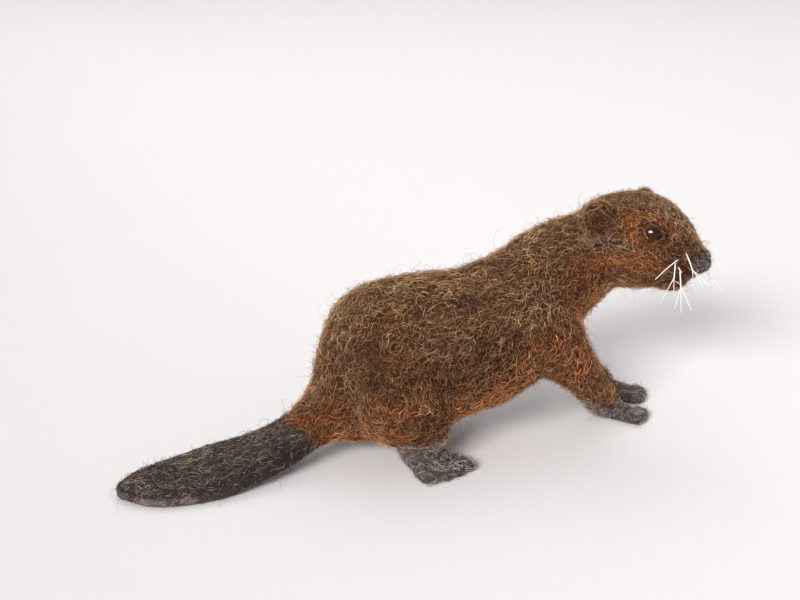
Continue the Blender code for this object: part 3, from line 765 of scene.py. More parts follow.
def shape_face(v, n):
    """Lids round the beads, nostrils, the mouth and the cups of the ears, as moves of the skin's points."""
    for side in ("left", "right"):
        s = 1 if side == "left" else -1
        c = EYES[side]
        a = eye_axis(side)
        long = turned(np.array((0.93, -0.28 * s, -0.33)))
        long = unit(long - a * (long @ a))
        wide = np.cross(a, long)
        r = v - c
        u, w, up = r @ long, r @ wide, r @ a
        near = (np.linalg.norm(r, axis=1) < 5.0) & (up > -1.0)
        f = np.sqrt(((u - 0.45) / 2.62) ** 2 + (w / (1.58 - 0.12 * np.abs(u - 0.45))) ** 2)
        # sunk inside the opening, so the bead fills it and its corners stay dark
        want = np.where(f < 1.0, 0.35 - 0.25 * np.cos(f * np.pi / 2), up)
        rim = np.exp(-(((f - 1.28) / 0.26) ** 2))
        inside = 1 - ramp(f, 0.92, 1.12)
        new = up * (1 - inside) + np.minimum(up, want) * inside
        new = new + 0.34 * rim * (1 - inside)
        # the lids draw in over the edge of the bead
        v = np.where(near[:, None], v + a[None] * (new - up)[:, None], v)
    h = to_head(v)
    hn = n @ HEAD_R
    move = np.zeros(len(v))
    for s in (1, -1):
        d = np.linalg.norm((h - np.array((22.6, s * 1.75, -1.7))) / np.array((1.5, 0.95, 0.75)), axis=1)
        move -= 1.0 * np.exp(-(d**2))                                   # nostril
        d = np.linalg.norm((h - np.array((22.2, s * 2.2, -0.5))) / np.array((1.5, 1.1, 0.7)), axis=1)
        move += 0.35 * np.exp(-(d**2))                                  # wing above it
    d = np.linalg.norm((h - NOSE_AT - (1.5, 0, -0.7)) / np.array((2.2, 2.8, 2.0)), axis=1)
    move += 0.50 * np.exp(-(d**2))                                      # the ball of the nose
    for s in (1, -1):
        q = (h - EARS[s]) * (1, s, 1)
        near = (np.linalg.norm(q, axis=1) < 6.0) & (h[:, 1] * s > 5.0)
        d = np.sqrt(((q[:, 0] - 0.3) / 2.7) ** 2 + ((q[:, 2] + 0.2) / 2.9) ** 2)
        cup = 1 - ramp(d, 0.35, 0.95)
        edge = np.exp(-(((d - 1.12) / 0.20) ** 2)) * ramp(q[:, 2] - 0.6 * q[:, 0], -3.0, 0.0)
        move += near * (-0.85 * cup + 0.38 * edge)                      # cup and rim of the ear
    d = np.sqrt((h[:, 1] / 0.42) ** 2 + ((h[:, 2] + 4.6) / 1.8) ** 2) + 9 * (h[:, 0] < 18)
    move -= 0.45 * np.exp(-(d**2))                                      # cleft under the nose
    # line of the mouth: from under the nose, back and down along the cheek
    t = np.clip((21.5 - h[:, 0]) / 6.5, 0, 1)
    line_z = -6.8 - 1.1 * t + 0.9 * t**3
    d = (h[:, 2] - line_z) / 0.55
    move -= 0.85 * np.exp(-(d**2)) * ramp(h[:, 0], 14.2, 16.2) * (np.abs(h[:, 1]) < 7.5)
    return v + n * move[:, None]


def shape_body(v, n, e):
    """The hand of the maker: soft lumps and needle dimples in the felt, and creases where the limbs are joined on."""
    grey = np.maximum(paw_share(v), tail_share(v))
    h = to_head(v)
    head = ramp(h[:, 0], -6, 2) * (1 - ramp(np.linalg.norm(h, axis=1), 22, 27))
    soft = (1 - 0.6 * head) * (1 - 0.45 * grey)
    lump = 0.95 * (rough(v, 6.5, 41) - 0.5) + 0.5 * (rough(v, 2.6, 43) - 0.5)
    dimple = -0.45 * ramp(noise(v, 1.7, 47), 0.66, 0.9)
    move = (lump + dimple) * soft
    pm = np.stack([v[:, 0], np.abs(v[:, 1]), v[:, 2]], 1)
    move -= 0.55 * blob(pm, (-4.6, 20.0, 20.0), (1.6, 4.0, 8.0), 0.9)
    move -= 0.45 * blob(pm, (20.0, 13.5, 38.5), (3.0, 4.0, 2.2), 0.9)
    return v + n * move[:, None]


def shape_paws(v, n):
    """Grooves between the toes and the rolled edge of each paw."""
    move = np.zeros(len(v))
    for name, (heel, toe, width) in PAWS.items():
        a, b = np.array(heel), np.array(toe)
        along = b - a
        size = np.linalg.norm(along)
        along /= size
        side = np.array((-along[1], along[0]))
        d = v[:, :2] - a
        s, w = d @ along, d @ side
        share = (np.abs(w) < width * 0.75) & (s > -2) & (s < size + 2.5) & (v[:, 2] < 6.5)
        top = share * ramp(n[:, 2], -0.1, 0.35)
        front = "front" in name
        lines = (-0.24, 0.02, 0.27) if not front else (-0.22, 0.0, 0.22)
        for i, k in enumerate(lines):
            fan = k * width * (0.62 + 0.42 * s / size) + 0.25 * np.sin(s * 0.8 + i)
            deep = (0.62, 0.95, 0.6)[i] if not front else (0.4, 0.55, 0.4)[i]
            move -= top * deep * np.exp(-(((w - fan) / (0.55 if not front else 0.42)) ** 2)) * ramp(s / size, 0.42, 0.72)
        if front:
            move -= top * 0.55 * np.exp(-(((s - size * 0.66 + 0.08 * w * w) / 0.55) ** 2)) * (1 - ramp(np.abs(w), width * 0.3, width * 0.5))
    # tail: a smooth rolled margin round a fuller middle
    q = across_tail(v)
    on = tail_share(v) * ramp(n[:, 2], 0.0, 0.5)
    move += on * (-0.32 * np.exp(-(((q - 0.80) / 0.07) ** 2)) + 0.12 * np.exp(-(((q - 0.93) / 0.06) ** 2)))
    return v + n * move[:, None]


def build_skin(mat):
    me = fused_solids()
    v, t = arrays(me)
    bpy.data.meshes.remove(me)
    e = edges_of(t)
    h = to_head(v)
    face = ramp(h[:, 0], -4, 4) * (1 - ramp(np.linalg.norm(h, axis=1), 24, 28))
    grey = np.maximum(paw_share(v), tail_share(v))
    weight = (1 - 0.72 * face) * (1 - 0.45 * grey)
    v = smoothed(v, e, 16, 0.5, weight)
    v = smoothed(v, e, 4, 0.5)
    n = vertex_normals(v, t)
    n = unit(smoothed(n, e, 6, 0.5))
    v = v - n * coat_depth(v, n)[:, None]
    n = unit(smoothed(vertex_normals(v, t), e, 3, 0.5))
    v = shape_body(v, n, e)
    v = shape_paws(v, n)
    v = shape_face(v, n)
    v = smoothed(v, e, 2, 0.4)
    v[:, 2] = np.maximum(v[:, 2], 0.02)
    n = vertex_normals(v, t)
    obj = mesh_object("felt_skin", v, t, mat)
    mix = recipe(v, n)
    ground = mix @ WOOL_TABLE
    grey = np.maximum(paw_share(v), tail_share(v))[:, None]
    nose = zones(v, n)[3][:, None]
    grey = np.maximum(grey, nose)
    # painted shade: the felt under the fibres is the wool mix darkened to a tenth to a quarter and warmed (greyer on
    # the paws, tail and nose), for the shade in the gaps between the fibres
    tint = np.array((1.20, 0.74, 0.48)) * (1 - grey) + np.array((1.10, 1.02, 1.12)) * grey
    ground = ground * (0.10 + 0.17 * rough(v, 3.2, 51))[:, None] * tint
    ground *= (1 + 2.2 * shares(v, n)["worn"] * ramp(noise(v, 2.4, 59), 0.35, 0.75))[:, None]
    ground *= (1 - 0.75 * (1 - outside_eyes(v, 1.18)))[:, None]
    paint(obj, ground)
    return obj, v, t, n


# ---------------------------------------------------------------- an unwrap of the skin for the coat's bake
def unwrap_table(v, t):
    """A light copy of the skin with Blender's own unwrap, to look up where a root lies on it."""
    me = bpy.data.meshes.new("unwrap")
    me.from_pydata([tuple((p + OFF) * MM) for p in v], [], [tuple(int(i) for i in f) for f in t])
    obj = bpy.data.objects.new("unwrap", me)
    bpy.context.scene.collection.objects.link(obj)
    mod = obj.modifiers.new("fewer", "DECIMATE")
    mod.ratio = min(1.0, 9000 / max(1, len(t)))
    dg = bpy.context.evaluated_depsgraph_get()
    light = bpy.data.meshes.new_from_object(obj.evaluated_get(dg))
    bpy.data.objects.remove(obj)
    obj = bpy.data.objects.new("unwrap", light)
    bpy.context.scene.collection.objects.link(obj)
    for o in bpy.context.view_layer.objects:
        o.select_set(False)
    obj.select_set(True)
    bpy.context.view_layer.objects.active = obj
    bpy.ops.object.mode_set(mode="EDIT")
    bpy.ops.mesh.select_all(action="SELECT")
    bpy.ops.uv.smart_project(angle_limit=1.15, island_margin=0.004, scale_to_bounds=True)
    bpy.ops.object.mode_set(mode="OBJECT")
    light = obj.data
    lv, _ = arrays(light)
    tris, uvs = [], []
    layer = light.uv_layers.active.data
    for lt in light.loop_triangles:
        tris.append(tuple(lt.vertices))
        uvs.append([tuple(layer[k].uv) for k in lt.loops])
    tris, uvs = np.array(tris), np.array(uvs)
    tree = BVHTree.FromPolygons([tuple(p) for p in lv], [tuple(int(i) for i in f) for f in tris])
    bpy.data.objects.remove(obj)
    return tree, lv, tris, uvs


def uv_at(table, points):
    tree, lv, tris, uvs = table
    out = np.zeros((len(points), 2))
    hit = np.zeros(len(points), np.int64)
    loc = np.zeros((len(points), 3))
    for i, p in enumerate(points):
        l, _, k, _ = tree.find_nearest(p)
        hit[i], loc[i] = k, l
    return (bary(loc, lv[tris[hit]])[:, :, None] * uvs[hit]).sum(1)


def bary(p, tri):
    a, b, c = tri[:, 0], tri[:, 1], tri[:, 2]
    n = np.cross(b - a, c - a)
    area = (n * n).sum(1)
    wa = (np.cross(c - b, p - b) * n).sum(1) / np.maximum(area, 1e-12)
    wb = (np.cross(a - c, p - c) * n).sum(1) / np.maximum(area, 1e-12)
    w = np.clip(np.stack([wa, wb, 1 - wa - wb], 1), 0, 1)
    return w / w.sum(1, keepdims=True)


# ---------------------------------------------------------------- the coat
class Surface:
    def __init__(self, v, t, n):
        self.v, self.t, self.n = v, t, n
        self.tree = BVHTree.FromPolygons([tuple(p) for p in v], [tuple(int(i) for i in f) for f in t])

    def near(self, p):
        """Closest skin point and its smooth normal."""
        hit = np.zeros(len(p), np.int64)
        loc = np.zeros((len(p), 3))
        find = self.tree.find_nearest
        for i, q in enumerate(p.tolist()):
            l, _, k, _ = find(q)
            hit[i], loc[i] = k, l
        w = bary(loc, self.v[self.t[hit]])
        return loc, unit((w[:, :, None] * self.n[self.t[hit]]).sum(1))

    def scatter(self, count, density, rng):
        """Random roots, denser where density(p, n) is higher."""
        tri = self.v[self.t]
        area = 0.5 * np.linalg.norm(np.cross(tri[:, 1] - tri[:, 0], tri[:, 2] - tri[:, 0]), axis=1)
        mid = tri.mean(1)
        nm = unit(self.n[self.t].mean(1))
        w = area * density(mid, nm)
        pick = np.searchsorted(np.cumsum(w), (np.arange(count) + rng.random(count)) / count * w.sum())
        pick = np.minimum(pick, len(w) - 1)
        r = np.sqrt(rng.random(count))[:, None]
        s = rng.random(count)[:, None]
        p = tri[pick, 0] * (1 - r) + tri[pick, 1] * r * (1 - s) + tri[pick, 2] * r * s
        return p, nm[pick]


def spun(t, n, angle):
    c, s = np.cos(angle)[:, None], np.sin(angle)[:, None]
    return t * c + np.cross(n, t) * s


def grow(skin, roots, normals, heading, length, steps, bend, crimp, wave, phase, height):
    """Centre lines of fibres that crawl over the skin. height(s) gives the lift over it along each fibre, mm."""
    count = len(roots)
    pts = np.empty((count, steps + 1, 3))
    ups = np.empty((count, steps + 1, 3))
    p, n, t = roots.copy(), normals.copy(), heading.copy()
    ds = length / steps
    for i in range(steps + 1):
        s = i / steps
        pts[:, i] = p + n * height(s)[:, None]
        ups[:, i] = n
        if i == steps:
            break
        turn = (bend + crimp * np.cos(2 * np.pi * s * length / wave + phase)) * ds
        t = spun(t, n, turn)
        q = p + t * ds[:, None]
        q2, n = skin.near(q)
        t = q2 - p
        t = unit(t - n * (t * n).sum(1, keepdims=True))
        p = q2
    return pts, ups


def tubes(pts, ups, radius):
    """Closed three-sided tubes along the centre lines: points (count * rings * 3), quads and end triangles."""
    count, rings, _ = pts.shape
    tan = np.empty_like(pts)
    tan[:, 1:-1] = pts[:, 2:] - pts[:, :-2]
    tan[:, 0] = pts[:, 1] - pts[:, 0]
    tan[:, -1] = pts[:, -1] - pts[:, -2]
    tan = unit(tan)
    side = unit(np.cross(tan, ups))
    top = np.cross(side, tan)
    ring = np.empty((count, rings, 3, 3))
    for k in range(3):
        a = math.pi / 2 + k * 2 * math.pi / 3
        ring[:, :, k] = pts + (side * math.cos(a) + top * math.sin(a)) * radius[:, :, None]
    base = (np.arange(count) * rings * 3)[:, None, None]
    r = np.arange(rings - 1)[None, :, None] * 3
    k = np.arange(3)[None, None, :]
    k2 = (k + 1) % 3
    quads = np.stack(np.broadcast_arrays(base + r + k, base + r + k2, base + r + 3 + k2, base + r + 3 + k), -1).reshape(-1, 4)
    b = (np.arange(count) * rings * 3)[:, None]
    first = np.concatenate([b + 2, b + 1, b], 1)
    e = b + (rings - 1) * 3
    last = np.concatenate([e, e + 1, e + 2], 1)
    tris = np.concatenate([quads[:, [0, 1, 2]], quads[:, [0, 2, 3]], first, last])
    return ring.reshape(-1, 3), tris, count * (6 * (rings - 1) + 2)


def tone(p):
    """Broad parts of the body where the felt is a little lighter or darker."""
    pm = np.stack([p[:, 0], np.abs(p[:, 1]), p[:, 2]], 1)
    return (
        1
        + 0.30 * blob(pm, (16, 12, 37), (5, 5, 4), 0.8)        # shoulder
        - 0.20 * blob(pm, (-22, 12, 27), (5, 5, 6), 0.8)       # side of the rump
        - 0.20 * blob(pm, (-11, 19, 12), (5, 4, 4), 0.8)       # low on the haunch
        # painted shade in the fold in front of the haunch
        - 0.20 * blob(pm, (-6, 18, 20), (3, 4, 7), 0.8)        # fold in front of the haunch
        - 0.12 * blob(pm, (-4, 9, 39), (7, 5, 4), 0.8)         # top of the back
    )


def wool_of(p, n, rng, loose=0.46, dark=0.0):
    """A dye for each fibre: part a draw from the mix at its root, part the whole mix, as carded wool is; a share of
    them darkened, partly darker wool and partly painted shade of the gaps in the felt."""
    mix = recipe(p, n)
    pick = (rng.random(len(p))[:, None] > np.cumsum(mix, 1)).sum(1)
    pick = np.minimum(pick, len(WOOLS) - 1)
    c = WOOL_TABLE[pick] * loose + (mix @ WOOL_TABLE) * (1 - loose)
    dark_and_painted_shade = (0.31, 0.255, 0.21)
    # a share of the fibres get a darkened copy of their dye, partly darker wool and partly painted shade of the gaps in
    # the felt
    c = c * np.where((rng.random(len(p)) < dark)[:, None], dark_and_painted_shade, 0.965) * np.exp(rng.normal(0, 0.26, len(p)))[:, None]
    c = c * (np.exp(1.1 * (rough(p, 1.9, 141) - 0.5) + 0.8 * (rough(p, 5.0, 151) - 0.5)) * tone(p))[:, None]
    warm = (rough(p, 4.2, 157) - 0.5)[:, None] * (1 - paw_share(p) - tail_share(p)).clip(0, 1)[:, None]
    c = c * (1 + warm * (0.26, -0.06, -0.34))
    return np.clip(c * (1 + rng.normal(0, 0.04, (len(p), 3))), 0, 0.95)


def zones(p, n):
    """Shares of the head, the charcoal felt, the tail and the nose at points p."""
    h = to_head(p)
    head = ramp(h[:, 0] + 0.5 * h[:, 2], -8, 0) * (1 - ramp(np.linalg.norm(h, axis=1), 24, 28))
    paw, tail = paw_share(p), tail_share(p)
    return head, paw, tail, nose_share(h)


def outside_eyes(p, reach=1.0):
    """0 over the beads' openings, 1 elsewhere."""
    out = np.ones(len(p))
    for side in ("left", "right"):
        c, a = EYES[side], eye_axis(side)
        s = 1 if side == "left" else -1
        long = turned(np.array((0.93, -0.28 * s, -0.33)))
        long = unit(long - a * (long @ a))
        wide = np.cross(a, long)
        r = p - c
        f = np.sqrt(((r @ long - 0.45) / 2.66) ** 2 + (r @ wide / (1.64 - 0.12 * np.abs(r @ long - 0.45))) ** 2)
        f = np.where(np.linalg.norm(r, axis=1) > 5, 9, f)
        out *= f > reach
    return out


def density(p, n):
    head, paw, tail, nose = zones(p, n)
    d = 1.0 + 1.1 * head + 0.9 * paw + 0.25 * tail + 0.9 * nose
    d = d * (1 - 0.45 * ramp(-n[:, 2], 0.55, 0.9))
    edge = tail * ramp(across_tail(p), 0.68, 0.84)
    tip = tail * (1 - ramp(p[:, 0], -75, -71))
    d = d * (1 - 0.72 * np.maximum(edge, tip))
    d = d * outside_eyes(p)
    return d * (p[:, 2] > 0.35)


class Bundle:
    """Fibres gathered until they are cut into pieces."""

    def __init__(self):
        self.sets = []

    def add(self, pts, ups, radius, colour, root_uv, name):
        self.sets.append((pts, ups, radius, colour, root_uv, name))

    def pieces(self, mat, limit=185000):
        groups = {}
        for pts, ups, radius, colour, root_uv, names in self.sets:
            for name in np.unique(names):
                m = names == name
                groups.setdefault(name, []).append((pts[m], ups[m], radius[m], colour[m], root_uv[m]))
        made = []
        for name in sorted(groups):
            chunk, total, part = [], 0, 0

            def flush():
                nonlocal chunk, total, part
                if chunk:
                    part += 1
                    made.append(self.piece("%s_%d" % (name, part), chunk, mat))
                chunk, total = [], 0

            for pts, ups, radius, colour, uv in groups[name]:
                per = 6 * (pts.shape[1] - 1) + 2
                i = 0
                while i < len(pts):
                    room = max(1, (limit - total) // per)
                    j = min(len(pts), i + room)
                    chunk.append((pts[i:j], ups[i:j], radius[i:j], colour[i:j], uv[i:j]))
                    total += (j - i) * per
                    i = j
                    if total >= limit - per:
                        flush()
            flush()
        return made

    def piece(self, name, chunk, mat):
        verts, faces, cols, uvs, base = [], [], [], [], 0
        for pts, ups, radius, colour, root_uv in chunk:
            v, f, _ = tubes(pts, ups, radius)
            count, rings, _ = pts.shape
            s = np.linspace(0, 1, rings)
            # painted shade: each fibre is darker towards its root, where it dives into the felt
            shade = (0.72 + 0.28 * np.minimum(1, s / 0.25))[None, :, None, None]
            c = np.broadcast_to(colour[:, None, None, :] * shade, (count, rings, 3, 3)).reshape(-1, 3)
            uv = np.empty((count, rings, 3, 2))
            uv[..., 0] = root_uv[:, None, None, 0] + (s[None, :, None] - 0.5) * 0.003
            uv[..., 1] = root_uv[:, None, None, 1] + ((np.arange(3) - 1) * 0.0012)[None, None, :]
            verts.append(v)
            faces.append(f + base)
            cols.append(c)
            uvs.append(np.clip(uv, 0, 1).reshape(-1, 2))
            base += len(v)
        verts, faces = np.concatenate(verts), np.concatenate(faces)
        obj = mesh_object(name, verts, faces, mat)
        paint(obj, np.concatenate(cols))
        layer = obj.data.uv_layers.new(name="OFBake")
        loops = np.empty(len(obj.data.loops), np.int32)
        obj.data.loops.foreach_get("vertex_index", loops)
        layer.data.foreach_set("uv", np.concatenate(uvs)[loops].astype(np.float32).ravel())
        return obj


def place_name(p):
    """Which part of the coat a root belongs to."""
    h = to_head(p)
    head = (h[:, 0] + 0.5 * h[:, 2] > -4) & (np.linalg.norm(h, axis=1) < 26)
    names = np.where(p[:, 0] > 20, "coat_front", np.where(p[:, 0] > -4, "coat_middle", "coat_hind"))
    names = np.where(p[:, 0] < -34.5, "coat_tail", names)
    return np.where(head, "coat_head", names)


def build_coat(skin, mat, table):
    rng = RNG
    bundle = Bundle()
    share = 1.0

    def family(count, steps, lengths, radii, lift, bend, crimp, wave, wander, seed, tint=1.0, weave=0.12, dark=0.0, free=0.0):
        """Fibres that crawl over the felt in crimped lines and dive back into it at both ends; a share of them end
        loose, off the felt."""
        count = int(count * share)
        roots, normals = skin.scatter(count, density, rng)
        head, paw, tail, nose = zones(roots, normals)
        face = head * ramp(to_head(roots)[:, 0], 6, 16)
        small = (1 - 0.24 * head - 0.35 * paw - 0.20 * tail) * (1 - 0.40 * nose) * (1 - 0.20 * face)
        length = rng.uniform(lengths[0], lengths[1], count) * small
        thick = rng.uniform(radii[0], radii[1], count)
        thick = thick * (1 - 0.14 * head - 0.20 * paw - 0.14 * tail) * (1 - 0.15 * nose)
        high = rng.uniform(lift[0], lift[1], count) * (1 - 0.22 * head - 0.55 * paw - 0.45 * tail) * (1 - 0.3 * face)
        swirl = (rough(roots, 8.0, seed) - 0.5) * 1.8 + (rough(roots, 2.6, seed + 1) - 0.5) * 0.9
        swirl = swirl * (1 - 0.4 * head) + paw * (rough(roots, 1.7, seed + 2) - 0.5) * 2.6
        way = lay(roots, normals)
        flip = np.where(rng.random(count) < 0.25, np.pi, 0)
        heading = spun(way, normals, swirl + flip + rng.normal(0, wander, count) * (1 + 1.4 * paw))
        kappa = rng.normal(0, bend, count) / np.maximum(small, 0.4)
        amp = rng.uniform(0.35, 1.0, count) * crimp / np.maximum(small, 0.5) * (1 - 0.35 * paw)
        waves = rng.uniform(wave[0], wave[1], count) * small
        phase = rng.uniform(0, 2 * np.pi, count)
        dip = rng.uniform(0, 2 * np.pi, count)
        bob = length / rng.uniform(1.1, 2.2, count)
        end = np.where(rng.random(count) < free, rng.uniform(0.25, 1.15, count), 0.0)
        end = end * (1 - 0.30 * head - 0.45 * paw - 0.55 * tail) * (1 - 0.35 * face) * outside_eyes(roots, 1.7)

        def height(s):
            arch = math.sin(math.pi * s) ** 0.55 if 0 < s < 1 else 0.0
            return -0.09 + (high + 0.09) * arch + weave * arch * np.sin(2 * np.pi * s * bob + dip) + end * s**1.8

        pts, ups = grow(skin, roots, normals, heading, length, steps, kappa, amp, waves, phase, height)
        s = np.linspace(0, 1, steps + 1)
        taper = 0.62 + 0.38 * np.sin(np.pi * np.clip(s, 0.0, 1.0)) ** 0.5
        radius = thick[:, None] * taper[None]
        low = pts[:, :, 2].min(1) - thick
        pts[:, :, 2] += np.maximum(0, 0.03 - low)[:, None]
        bundle.add(pts, ups, radius, wool_of(roots, normals, rng, 0.46, dark) * tint, uv_at(table, roots), place_name(roots))

    # wool deep in the felt, its mix darkened as painted shade, light crimped arcs over it, longer waves among them,
    # then loose curls on top
    family(7400, 4, (1.4, 2.8), (0.048, 0.070), (0.00, 0.16), 0.30, 1.6, (1.4, 2.8), 0.45, 61, 0.46, 0.06)
    family(27500, 4, (1.2, 2.6), (0.032, 0.047), (0.10, 0.55), 0.25, 1.45, (1.3, 2.7), 0.34, 61, 1.56, 0.12, 0.30, 0.28)
    family(3100, 8, (2.6, 5.2), (0.029, 0.042), (0.25, 0.80), 0.22, 1.60, (1.4, 2.9), 0.38, 61, 1.60, 0.12, 0.0, 0.45)
    family(400, 16, (6.0, 11.0), (0.028, 0.040), (0.35, 1.00), 0.28, 1.3, (2.2, 4.2), 0.7, 67, 1.5)
    return bundle


def stray_fibres(skin, bundle, table):
    """Fuzz: short hairs that stand off the felt all over, and longer single fibres in wide curls."""
    rng = RNG

    def loose(count, steps, lengths, radii, lean, turns, name, tint):
        count = int(count * (1))

        def dens(p, n):
            head, paw, tail, nose = zones(p, n)
            near = (1.0 + 0.5 * head - 0.3 * paw - 0.45 * tail) * (1 - 0.5 * nose)
            return near * (p[:, 2] > 1.0) * (1 - 0.6 * ramp(-n[:, 2], 0.5, 0.9)) * outside_eyes(p, 1.5)

        roots, normals = skin.scatter(count, dens, rng)
        head, paw, tail, nose = zones(roots, normals)
        way = spun(lay(roots, normals), normals, rng.normal(0, 1.3, count))
        length = rng.uniform(0, 1, count) ** 1.6 * (lengths[1] - lengths[0]) + lengths[0]
        length = length * (1 - 0.30 * head - 0.35 * paw - 0.35 * nose)
        out = unit(way * rng.uniform(lean[0], lean[1], count)[:, None] + normals)
        over = np.where(rng.random(count) < 0.35, 1.0, -1.0)[:, None]
        axis = unit(np.cross(out, way) * over + rng.normal(0, 0.7, (count, 3)))
        turn = rng.uniform(turns[0], turns[1], count) * np.where(rng.random(count) < 0.35, 1.6, 1.0)
        pts = np.empty((count, steps + 1, 3))
        ups = np.empty((count, steps + 1, 3))
        p, d = roots + normals * 0.05, out
        other = unit(rng.normal(0, 1, (count, 3)))
        for i in range(steps + 1):
            pts[:, i] = p
            ups[:, i] = unit(np.cross(d, axis) + 1e-4)
            a = turn / steps * (1.0 + 0.5 * math.sin(i * 1.7))
            d = unit(d * np.cos(a)[:, None] + np.cross(axis, d) * np.sin(a)[:, None])
            axis = unit(axis + 0.18 * other)
            p = p + d * (length / steps)[:, None]
        # none goes through the floor
        pts[:, :, 2] = np.maximum(pts[:, :, 2], 0.12)
        s = np.linspace(0, 1, steps + 1)
        radius = rng.uniform(radii[0], radii[1], count)[:, None] * (1 - 0.5 * s**2)[None]
        # painted light: fuzz and strays are mixed towards a pale tint, tan on the body and grey on the paws and tail,
        # for the light caught by fibres standing off the felt
        worn = np.maximum(paw, tail)[:, None]
        pale_painted_light = linear((212, 188, 152)) * (1 - worn) + linear((168, 160, 158)) * worn
        painted_light_share = rng.uniform(0.05, 0.50, count)[:, None]
        colour = np.clip((wool_of(roots, normals, rng) * (1 - painted_light_share) + pale_painted_light * painted_light_share) * tint, 0, 0.9)
        bundle.add(pts, ups, radius, colour, uv_at(table, roots), np.full(count, name))

    loose(11800, 4, (0.7, 3.0), (0.033, 0.046), (0.1, 1.2), (0.8, 3.4), "coat_fuzz", 1.0)
    loose(680, 13, (3.0, 9.0), (0.030, 0.044), (0.3, 1.2), (2.5, 6.0), "coat_stray", 1.0)


# ---------------------------------------------------------------- eyes and whiskers
def build_eye(side, mat):
    """A glass bead, oval and a little flattened towards the front, on the spot of its solid."""
    c, a = EYES[side], eye_axis(side)
    s = 1 if side == "left" else -1
    flat = turned(unit(np.array((0.42, s * 0.86, 0.30))))
    bm = bmesh.new()
    bmesh.ops.create_uvsphere(bm, u_segments=64, v_segments=48, radius=1.0)
    for v in bm.verts:
        front = max(0.0, v.co.z)
        v.co = Vector((v.co.x * 1.86, v.co.y * 1.46, v.co.z * (1.50 if v.co.z < 0 else 1.16) + 0.10 * front))
    long = turned(np.array((0.93, -0.28 * s, -0.33)))
    long = unit(long - flat * (long @ flat))
    wide = np.cross(flat, long)
    turn = Matrix(np.stack([long, wide, flat], 1).tolist()).to_4x4()
    at = Vector(c) + Vector(a) * 0.05 + Vector(long) * 0.34 + Vector(wide) * 0.20 * s
    bmesh.ops.transform(bm, matrix=Matrix.Translation(at) @ turn, verts=bm.verts)
    bmesh.ops.translate(bm, vec=Vector(OFF), verts=bm.verts)
    bmesh.ops.scale(bm, vec=Vector((MM,) * 3), verts=bm.verts)
    me = bpy.data.meshes.new("bead_" + side)
    bm.to_mesh(me)
    bm.free()
    for f in me.polygons:
        f.use_smooth = True
    obj = bpy.data.objects.new("bead_" + side, me)
    bpy.context.scene.collection.objects.link(obj)
    me.materials.append(mat)
    return obj


def lid_fibres(skin, bundle, table):
    """Short dark fibres laid in rings round each bead, drawn in over its upper edge."""
    for side in ("left", "right"):
        c, a = EYES[side], eye_axis(side)
        s = 1 if side == "left" else -1
        long = turned(np.array((0.93, -0.28 * s, -0.33)))
        long = unit(long - a * (long @ a))
        up = np.cross(a, long) * -s
        count, steps = (190), 5
        angle = RNG.uniform(0, 2 * np.pi, count)
        high = ramp(np.sin(angle) - 0.35 * np.cos(angle), -0.5, 0.6)
        f = 1.22 - RNG.uniform(0, 1, count) * (0.26 + 0.26 * high)
        span = RNG.uniform(0.35, 0.85, count) * np.where(RNG.random(count) < 0.5, 1, -1)
        pts = np.empty((count, steps + 1, 3))
        roots, normals = np.empty((count, 3)), np.empty((count, 3))
        for i in range(count):
            for k in range(steps + 1):
                q = angle[i] + span[i] * (k / steps - 0.5)
                g = f[i] + 0.05 * math.sin(k * 1.9 + i)
                u, w = 0.36 + 2.10 * g * math.cos(q), -0.06 + 1.52 * g * math.sin(q)
                at = c + long * u + up * w
                hit, _, _, _ = skin.tree.ray_cast(Vector(at + a * 5.0), Vector(-a), 8.0)
                level = (np.array(hit) - c) @ a if hit is not None else 0.0
                inside = 1 - ((u - 0.34) / 1.86) ** 2 - ((w + 0.20) / 1.46) ** 2
                if inside > 0:
                    level = max(level, 0.07 + 1.24 * math.sqrt(inside))
                edge = 0.16 * min(k, steps - k) / steps
                pts[i, k] = at + a * (level + edge)
            roots[i], normals[i] = pts[i, 0], a
        ups = np.broadcast_to(a, pts.shape).copy()
        thick = RNG.uniform(0.034, 0.050, count)
        taper = 0.6 + 0.4 * np.sin(np.pi * np.linspace(0, 1, steps + 1)) ** 0.5
        colour = wool_of(roots, normals, RNG, 0.6, 0.45) * 0.95
        bundle.add(pts, ups, thick[:, None] * taper[None], colour, uv_at(table, roots), np.full(count, "coat_head"))


# bristles of the right cheek, head frame: each stem's root on the pad, its heading (0 forward, 90 straight out), droop,
# length and thickness, then the tines it splits into, each with a heading, droop and length
STEMS = (
    ((18, -5.5, -1.5), 110, 30, 7.5, 0.13, ()),                                      # long, swept back
    ((17.5, -5.5, -2), 65, 50, 4, 0.15, ((95, 45, 7), (60, 50, 4))),                 # forked, drooping
    ((18, -5.5, -3), 25, 30, 2, 0.14, ()),                                           # stub
    ((18.5, -5, -3.5), 55, 45, 4.5, 0.15, ((80, 50, 5.5), (55, 55, 6), (25, 45, 6))),
    ((17.5, -5, -6.5), 15, 15, 3, 0.08, ()),                                         # under the lip
    ((19, -4, 0), 35, 40, 4.5, 0.14, ((55, 50, 3.5), (15, 40, 4), (5, 30, 5))),      # front, by the nose
)


def bristle(at, heading, droop, size):
    a, d = math.radians(heading), math.radians(droop)
    way = np.array((math.cos(d) * math.cos(a), -math.cos(d) * math.sin(a), -math.sin(d)))
    return [at, at + way * size * 0.5 + (0, 0, 0.03 * size), at + way * size]


def bristles():
    out = []
    for root, heading, droop, size, thick, tines in STEMS:
        line = bristle(np.array(root, float), heading, droop, size)
        out.append((line, thick, thick * (0.9 if tines else 0.55)))
        for t in tines:
            out.append((bristle(line[-1], *t), thick * 0.62, thick * 0.28))
    return out


WHISKERS = bristles()


